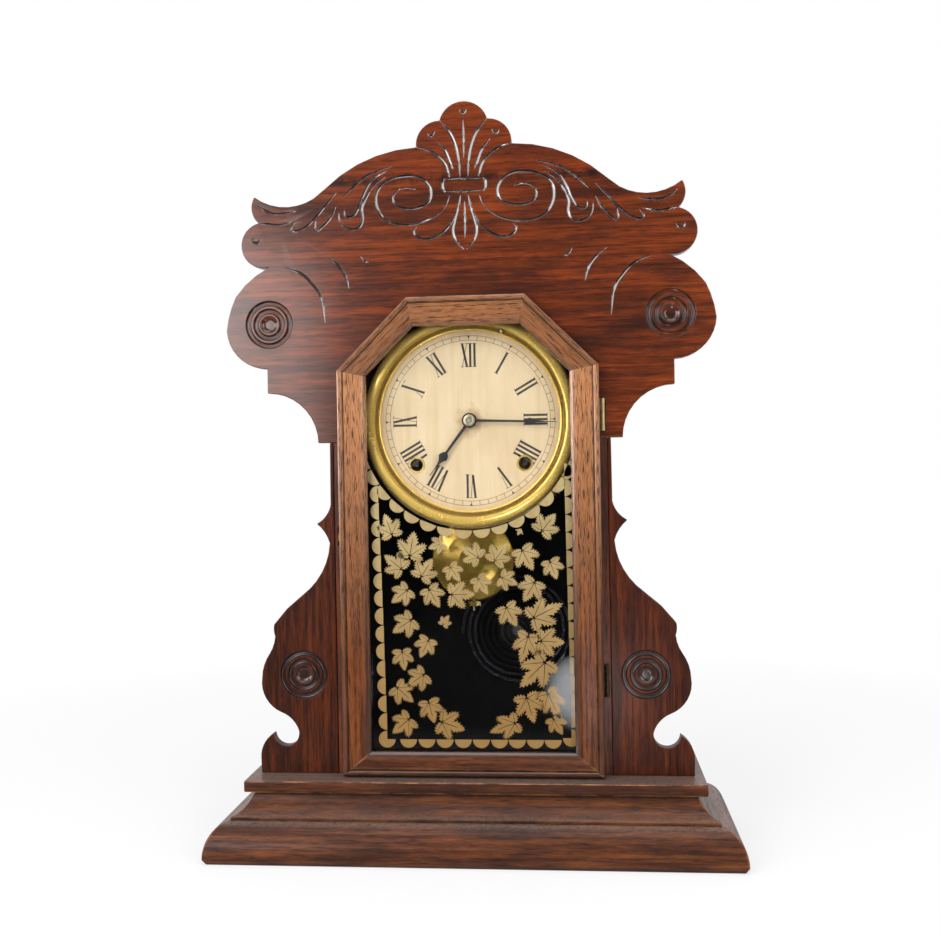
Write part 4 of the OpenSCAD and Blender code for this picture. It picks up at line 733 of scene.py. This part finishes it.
def makeDialPrint(look):
    shape = bmesh.new()
    thick, track = look["thick"], look["track"]
    centre = Vector((dialCentre[0] * mm, (dialFace - thick / 2) * mm, dialCentre[1] * mm))
    for hour, letters in enumerate(look["hours"], start=1):
        turn = Matrix.Translation(centre) @ Matrix.Rotation(math.radians(30 * hour), 4, "Y")
        stand = turn @ Matrix.Translation((0, 0, look["foot"] * mm)) @ Matrix.Scale(mm, 4)
        for start, end, wide in numeralStrokes(letters, look, hour):
            strokeInto(shape, start, end, wide, thick, stand)
        # the small triangle at each hour points to the arbor
        mark = turn @ Matrix.Translation((0, 0, (track[1] - look["markIn"]) * mm))
        mark = mark @ Matrix.Rotation(math.pi / 2, 4, "X") @ Matrix.Rotation(math.pi, 4, "Z")
        bmesh.ops.create_cone(shape, cap_ends=True, segments=3, radius1=look["mark"] * mm, radius2=look["mark"] * mm,
                              depth=thick * mm, matrix=mark)
    for minute in range(60):
        turn = Matrix.Translation(centre) @ Matrix.Rotation(math.radians(6 * minute), 4, "Y") @ Matrix.Scale(mm, 4)
        strokeInto(shape, (0, track[0]), (0, track[1]), look["minute"], thick, turn)
    for radius in track:
        ringInto(shape, radius * mm, look["line"] * mm, thick * mm,
                 (dialCentre[0] * mm, dialFace * mm, dialCentre[1] * mm))
    addPiece("dialPrint", shape, ["ink"], "case")


makeDialPrint(dialLook)
print("dial printed")


# The gilt ornament behind the door's glass: places of the leaves' feet and tips, and rows of half discs
giltLook = {
    "back": -18.5, "thick": 0.05, "disc": 6.35, "tilt": 0.05, "widths": (0.76, 0.88), "long": 21, "slimmer": 0.78,
    "leaves": [
        (-58.7, 235.1, -64.1, 251.3), (-45.6, 218.8, -42.6, 238.0), (-51.8, 209.1, -65.1, 220.0),
        (-37.2, 203.2, -28.3, 217.4), (-47.7, 193.6, -60.0, 183.3), (-31.4, 193.8, -23.9, 179.6),
        (-45.2, 171.2, -59.7, 161.0), (-21.4, 167.5, -16.8, 174.8), (-32.4, 155.7, -38.7, 142.2),
        (-52.5, 147.4, -50.4, 132.6), (-36.3, 130.0, -49.9, 121.5), (-57.0, 120.4, -43.8, 109.7),
        (-33.2, 109.3, -28.7, 93.3), (-48.1, 96.7, -60.7, 85.2), (-23.9, 94.6, -6.0, 87.9),
        (-20.4, 228.5, -31.6, 224.2), (-15.2, 210.6, -8.2, 198.8), (6.1, 217.1, -7.0, 225.4),
        (18.3, 214.8, 27.5, 227.9), (5.6, 201.7, 12.6, 189.3), (23.3, 202.2, 35.3, 196.3), (-14.8, 189.9, 3.5, 190.5),
        (53.6, 236.4, 64.8, 249.2), (38.7, 222.6, 47.3, 207.2), (59.3, 213.7, 64.7, 200.4), (47.8, 198.6, 39.0, 184.0),
        (26.2, 180.2, 34.0, 165.4), (45.9, 171.9, 68.8, 182.4), (42.3, 158.8, 35.5, 138.2), (51.2, 155.0, 69.7, 154.6),
        (54.8, 139.6, 35.5, 119.7), (40.2, 113.2, 45.2, 93.3), (55.9, 116.2, 65.8, 96.4), (31.8, 94.1, 12.0, 86.6),
        (59.7, 97.1, 66.3, 85.0)],
    "buds": [(38.7, 238.8, 35.7, 233.4), (7.3, 184.5, 4.1, 181.3)],
    # half a leaf, foot at 0, 0 and tip at 0, 1, in three patches with the veins clear between them
    "outlines": [
        [(0.018, 0.05), (0.014, 0.60), (0, 0.72), (0, 1.0), (0.05, 0.90), (0.12, 0.93), (0.09, 0.82), (0.19, 0.83),
         (0.14, 0.72), (0.26, 0.73), (0.20, 0.63), (0.31, 0.60), (0.225, 0.53), (0.175, 0.41),
         (0.28, 0.50), (0.31, 0.43), (0.35, 0.56), (0.41, 0.47), (0.46, 0.62), (0.51, 0.50), (0.57, 0.62), (0.60, 0.52),
         (0.71, 0.56), (0.48, 0.395), (0.32, 0.275), (0.06, 0.085)],
        [(0.085, 0.076), (0.325, 0.255), (0.487, 0.382), (0.71, 0.545), (0.63, 0.43), (0.71, 0.40), (0.58, 0.355),
         (0.66, 0.28), (0.52, 0.275), (0.57, 0.19), (0.45, 0.19), (0.37, 0.14), (0.52, 0.13),
         (0.50, 0.06), (0.64, 0.04), (0.56, 0.0), (0.66, -0.05), (0.33, -0.006), (0.085, 0.028)],
        [(0.02, 0.0), (0.075, 0.01), (0.33, -0.022), (0.66, -0.06), (0.53, -0.08), (0.52, -0.16), (0.42, -0.09),
         (0.37, -0.19), (0.30, -0.09), (0.23, -0.17), (0.17, -0.08), (0.10, -0.12), (0.06, -0.045)]],
    "centre": (-0.4, 318.6), "sweep": 80.9, "angles": (-160.1, -16.5, 16),
    "left": [(-68.7, 265.7), (-68.4, 252.8), (-68.1, 239.7), (-67.8, 226.6), (-67.5, 213.5), (-67.1, 200.2),
             (-66.8, 187.3), (-66.5, 173.9), (-66.2, 160.6), (-66.0, 147.4), (-65.7, 134.5), (-65.5, 121.5),
             (-65.2, 108.0), (-64.9, 94.8)],
    "right": [(70.9, 280.1), (71.0, 268.4), (71.2, 255.3), (71.3, 242.1), (71.5, 229.0), (71.6, 215.7), (71.8, 202.6),
              (72.0, 189.4), (72.1, 176.5), (72.4, 163.0), (72.6, 149.9), (72.7, 136.6), (72.9, 123.5), (73.1, 110.4),
              (73.2, 97.1)],
    "bottom": [(-48.8, 81.5), (-34.9, 81.5), (-21.2, 81.5), (-7.6, 81.5), (6.0, 81.5), (19.6, 81.5), (32.8, 81.5),
               (46.3, 81.5), (59.4, 81.5)],
    "corners": [((-65.0, 81.5), 90), ((73.0, 83.0), 180)],
}


def leafInto(shape, leaf, look, patches):
    foot, tip = leaf[:2], leaf[2:]
    length = math.dist(foot, tip)
    angle = math.atan2(tip[0] - foot[0], tip[1] - foot[1]) + dice.uniform(-look["tilt"], look["tilt"])
    for side in (-1, 1):
        wide = length * dice.uniform(*look["widths"]) * (look["slimmer"] if length > look["long"] else 1)
        for outline in look["outlines"][:patches]:
            corners = []
            for across, up in outline:
                x, z = side * across * wide, up * length
                corners.append(shape.verts.new((
                    (foot[0] + x * math.cos(angle) + z * math.sin(angle)) * mm, 0,
                    (foot[1] - x * math.sin(angle) + z * math.cos(angle)) * mm)))
            shape.faces.new(corners)


def discPartInto(shape, middle, start, sweep, radius):
    # the part of a disc from one angle through another; a corner is kept when it is more than a half
    corners = [] if sweep <= 180 else [shape.verts.new((middle[0] * mm, 0, middle[1] * mm))]
    for step in range(25):
        angle = math.radians(start + sweep * step / 24)
        corners.append(shape.verts.new(((middle[0] + radius * math.cos(angle)) * mm, 0,
                                        (middle[1] + radius * math.sin(angle)) * mm)))
    shape.faces.new(corners)


def makeGilding(look):
    shape = bmesh.new()
    for leaf in look["leaves"]:
        leafInto(shape, leaf, look, 3)
    for bud in look["buds"]:
        leafInto(shape, bud, look, 1)
    first, last, count = look["angles"]
    for index in range(count):
        angle = first + (last - first) * index / (count - 1)
        place = [look["centre"][0] + look["sweep"] * math.cos(math.radians(angle)),
                 look["centre"][1] + look["sweep"] * math.sin(math.radians(angle))]
        discPartInto(shape, place, angle - 90, 180, look["disc"])
    for key, start in (("left", 90), ("right", -90), ("bottom", 180)):
        for place in look[key]:
            discPartInto(shape, place, start, 180, look["disc"])
    for place, start in look["corners"]:
        discPartInto(shape, place, start, 270, look["disc"])
    bmesh.ops.recalc_face_normals(shape, faces=shape.faces)
    grown = bmesh.ops.extrude_face_region(shape, geom=shape.faces[:])["geom"]
    bmesh.ops.translate(shape, vec=(0, look["thick"] * mm, 0),
                        verts=[item for item in grown if isinstance(item, bmesh.types.BMVert)])
    bmesh.ops.translate(shape, vec=(0, look["back"] * mm, 0), verts=shape.verts)
    addPiece("gilding", shape, ["gilt"], "door")


makeGilding(giltLook)
print("glass gilded")


# A turned piece: its profile, as distances from the axis and along it, spun round an axis along Y
def turned(name, profile, centre, finish, body, slotName):
    shape = bmesh.new()
    points = [shape.verts.new((radius * mm, depth * mm, 0)) for radius, depth in profile]
    edges = [shape.edges.new(pair) for pair in zip(points, points[1:])]
    bmesh.ops.spin(shape, geom=points + edges, cent=(0, 0, 0), axis=(0, 1, 0), angle=math.tau, steps=48,
                   use_merge=True)
    bmesh.ops.remove_doubles(shape, verts=shape.verts, dist=1e-6)
    bmesh.ops.translate(shape, vec=Vector(centre) * mm, verts=shape.verts)
    addPiece(name, shape, [finish], body)


crestNail = [(0, boardFace - 0.15), (0.6, boardFace - 0.1), (0.8, boardFace), (0.8, boardFace + 0.5),
             (0, boardFace + 0.5)]
smallPieces = [
    # the stepped collet under the minute hand's nut, and the nail that holds the ring
    ("handCollet", [(1.35, -8.6), (4.3, -8.6), (4.4, -8.75), (4.2, -8.95), (3.5, -9.05), (3.3, -9.6), (2.9, -9.75),
                    (2.5, -9.6), (2.3, -9.1), (1.35, -9.0), (1.35, -8.6)],
     (dialCentre[0], 0, dialCentre[1]), "colletMetal", "minute_arbor", "brass"),
    ("ringNail", [(0, -9.6), (0.7, -9.5), (1.1, -9.0), (1.1, -4.0), (0, -4.0)],
     (25.4, 0, 386.7), "whiteMetal", "case", "brass"),
    ("crestNailLeft", crestNail, (-70.7, 0, 430.0), "bluedSteel", "case", "steel"),
    ("crestNailRight", crestNail, (89.9, 0, 412.2), "bluedSteel", "case", "steel"),
]
for piece in smallPieces:
    turned(*piece)
print("small turned pieces made")


# Finishes of the CAD nodes that stay as they are
nodeFinishes = {
    "backOak": ["back_board"],
    "rawOak": ["base_back_rail", "glue_blocks", "dial_battens", "glazing_strips"],
    "dialPaint": ["dial_pan"],
    "ringBrass": ["dial_ring"],
    "eyeletBrass": ["dial_eyelets"],
    "brass": ["catch_tongue"],
    "hingeBrass": ["hinge_leaves_case", "hinge_leaves_door"],
    "bobBrass": ["pendulum_bob", "rating_nut"],
    "windingSteel": ["time_winding_arbor", "strike_winding_arbor"],
    "whiteMetal": ["door_catch"],
    "plateBrass": ["front_plate", "back_plate", "plate_pillars", "suspension", "time_great_wheel", "strike_great_wheel",
                   "time_second_wheel", "strike_second_wheel", "centre_wheel", "time_third_wheel", "escape_wheel",
                   "strike_third_wheel", "warning_wheel", "fly", "minute_wheel", "hour_wheel"],
    "steel": ["pillar_nuts", "centre_arbor", "verge", "hammer", "pendulum_rod"],
    "bluedSteel": ["mainsprings", "hour_hand", "minute_hand"],
    "gongSteel": ["gong_coil"],
    "castIron": ["gong_stand"],
    "clearGlass": ["door_glass"],
}
left = set(nodes) - {board[0] for board in boards} - {"crest_board"}
for finish, names in nodeFinishes.items():
    for name in names:
        node = nodes[name]
        if not node.material_slots:
            node.data.materials.append(finishes[finish])
        for holder in node.material_slots:
            holder.material = finishes[finish]
        left.discard(name)
print("CAD nodes finished; without a finish:", sorted(left))


def throughGlass(tree, paths):
    # a ray straight from the camera through the door's glass, so that the open door shows the plain background
    shallow = maths(tree, "LESS_THAN", paths["Ray Depth"], 2.5)
    return times(tree, paths["Is Transmission Ray"], shallow)


def makeFloor():
    shape = bmesh.new()
    bmesh.ops.create_grid(shape, x_segments=1, y_segments=1, size=6)
    floor = addObject("floor", meshFrom(shape, "floor"))
    tree, place = newFinish("floorPaint")
    matt = put(tree, "ShaderNodeBsdfDiffuse", None, {"Color": (0.86, 0.86, 0.87, 1)}).outputs[0]
    white = glow(tree, "Emission", (1, 1, 1, 1), 1.0)
    away = vectorMaths(tree, "LENGTH", place, gives="Value")
    paths = put(tree, "ShaderNodeLightPath").outputs
    through = throughGlass(tree, paths)
    lit = times(tree, maths(tree, "MAXIMUM", paths["Is Camera Ray"], through),
                spread(tree, away, 0.25, 0.9, 0.6, 1))
    plain = mixed(tree, lit, matt, white)
    # gloss sees the sweep end before the camera, and one bright patch of it: the floor glows there for glossy rays, a
    # painted reflection
    offset = vectorMaths(tree, "SUBTRACT", place, (0.094, -0.64, 0))
    near = vectorMaths(tree, "LENGTH", stretched(tree, offset, 18, 4, 1), gives="Value")
    strength = maths(tree, "ADD", spread(tree, along(tree, place, "Y"), -0.42, -0.25, 0.03, 0.7),
                     spread(tree, near, 1.1, 0.65, 0, 15))
    mirrored = glow(tree, "Emission", (0.93, 0.96, 1, 1), strength)
    gloss = maths(tree, "SUBTRACT", maths(tree, "MAXIMUM", paths["Is Glossy Ray"], through), through)
    close(tree, mixed(tree, gloss, plain, mirrored))
    floor.data.materials.append(finishes["floorPaint"])


def makeWorld():
    world = bpy.data.worlds.new("studio")
    bpy.context.scene.world = world
    world.use_nodes = True
    tree = world.node_tree
    tree.nodes.clear()
    paths = put(tree, "ShaderNodeLightPath").outputs
    bent = maths(tree, "MAXIMUM", paths["Is Glossy Ray"], paths["Is Transmission Ray"])
    seen = maths(tree, "MAXIMUM", paths["Is Camera Ray"], bent)
    light = glow(tree, "Background", (0.97, 0.98, 1, 1), 0.55)
    # the room behind the camera is dimmer than the white sweep, as gloss shows it
    ray = put(tree, "ShaderNodeTexCoord").outputs["Generated"]
    bounced = maths(tree, "SUBTRACT", bent, throughGlass(tree, paths))
    dim = times(tree, spread(tree, along(tree, ray, "Y"), -0.35, -0.95), bounced)
    # and a bright window stands at the left
    sideways = vectorMaths(tree, "DOT_PRODUCT", ray, (-0.985, -0.12, 0.12), "Value")
    window = times(tree, spread(tree, sideways, 0.93, 0.975, 0, 9), bounced)
    strength = maths(tree, "ADD", spread(tree, dim, 0, 1, 1.0, 0.06), window)
    white = glow(tree, "Background", (1, 1, 1, 1), strength)
    put(tree, "ShaderNodeOutputWorld", None, {"Surface": mixed(tree, seen, light, white)})


# Large soft lamps: place, the point each faces, its sides and its power
lamps = {
    "keyLeft": {"at": (-1.15, -1.6, 1.1), "aim": (0, 0, 0.35), "sides": (1.1, 1.3), "power": 18},
    "windowLeft": {"at": (-0.88, -1.6, 0.5), "aim": (0, 0, 0.4), "sides": (0.8, 0.6), "power": 8},
    "fillRight": {"at": (1.15, -1.5, 0.8), "aim": (0, 0, 0.3), "sides": (0.9, 1.2), "power": 15},
    "overhead": {"at": (0.1, -0.4, 1.9), "aim": (0, 0, 0.2), "sides": (1.6, 1.2), "power": 15},
}


def makeLamps():
    for name, look in lamps.items():
        data = bpy.data.lights.new(name, "AREA")
        data.shape = "RECTANGLE"
        data.size, data.size_y = look["sides"]
        data.energy = look["power"]
        lamp = addObject(name, data)
        lamp.location = look["at"]
        lamp.rotation_euler = (Vector(look["aim"]) - Vector(look["at"])).to_track_quat("-Z", "Y").to_euler()


# The photograph's view: place in mm, lens in mm on a 36 mm frame, then yaw, pitch and roll in degrees
cameraLook = {"at": (80.3, -848.5, 284.6), "lens": 42.8, "yaw": 5.46, "pitch": -0.13, "roll": -1.0}


def makeCamera(look):
    yaw, pitch, roll = (math.radians(look[key]) for key in ("yaw", "pitch", "roll"))
    ahead = Vector((-math.sin(yaw) * math.cos(pitch), math.cos(yaw) * math.cos(pitch), math.sin(pitch)))
    level = Vector((math.cos(yaw), math.sin(yaw), 0))
    over = level.cross(ahead)
    right = math.cos(roll) * level + math.sin(roll) * over
    up = -math.sin(roll) * level + math.cos(roll) * over
    matrix = Matrix((right, up, -ahead)).transposed().to_4x4()
    matrix.translation = Vector(look["at"]) * mm
    data = bpy.data.cameras.new("photoView")
    data.lens = look["lens"]
    data.sensor_width = 36
    data.clip_start = 0.01
    camera = addObject("photoView", data)
    camera.matrix_world = matrix
    bpy.context.scene.camera = camera


makeFloor()
makeWorld()
makeLamps()
makeCamera(cameraLook)
bpy.context.scene.view_settings.view_transform = "Standard"
print("floor, light and camera set")
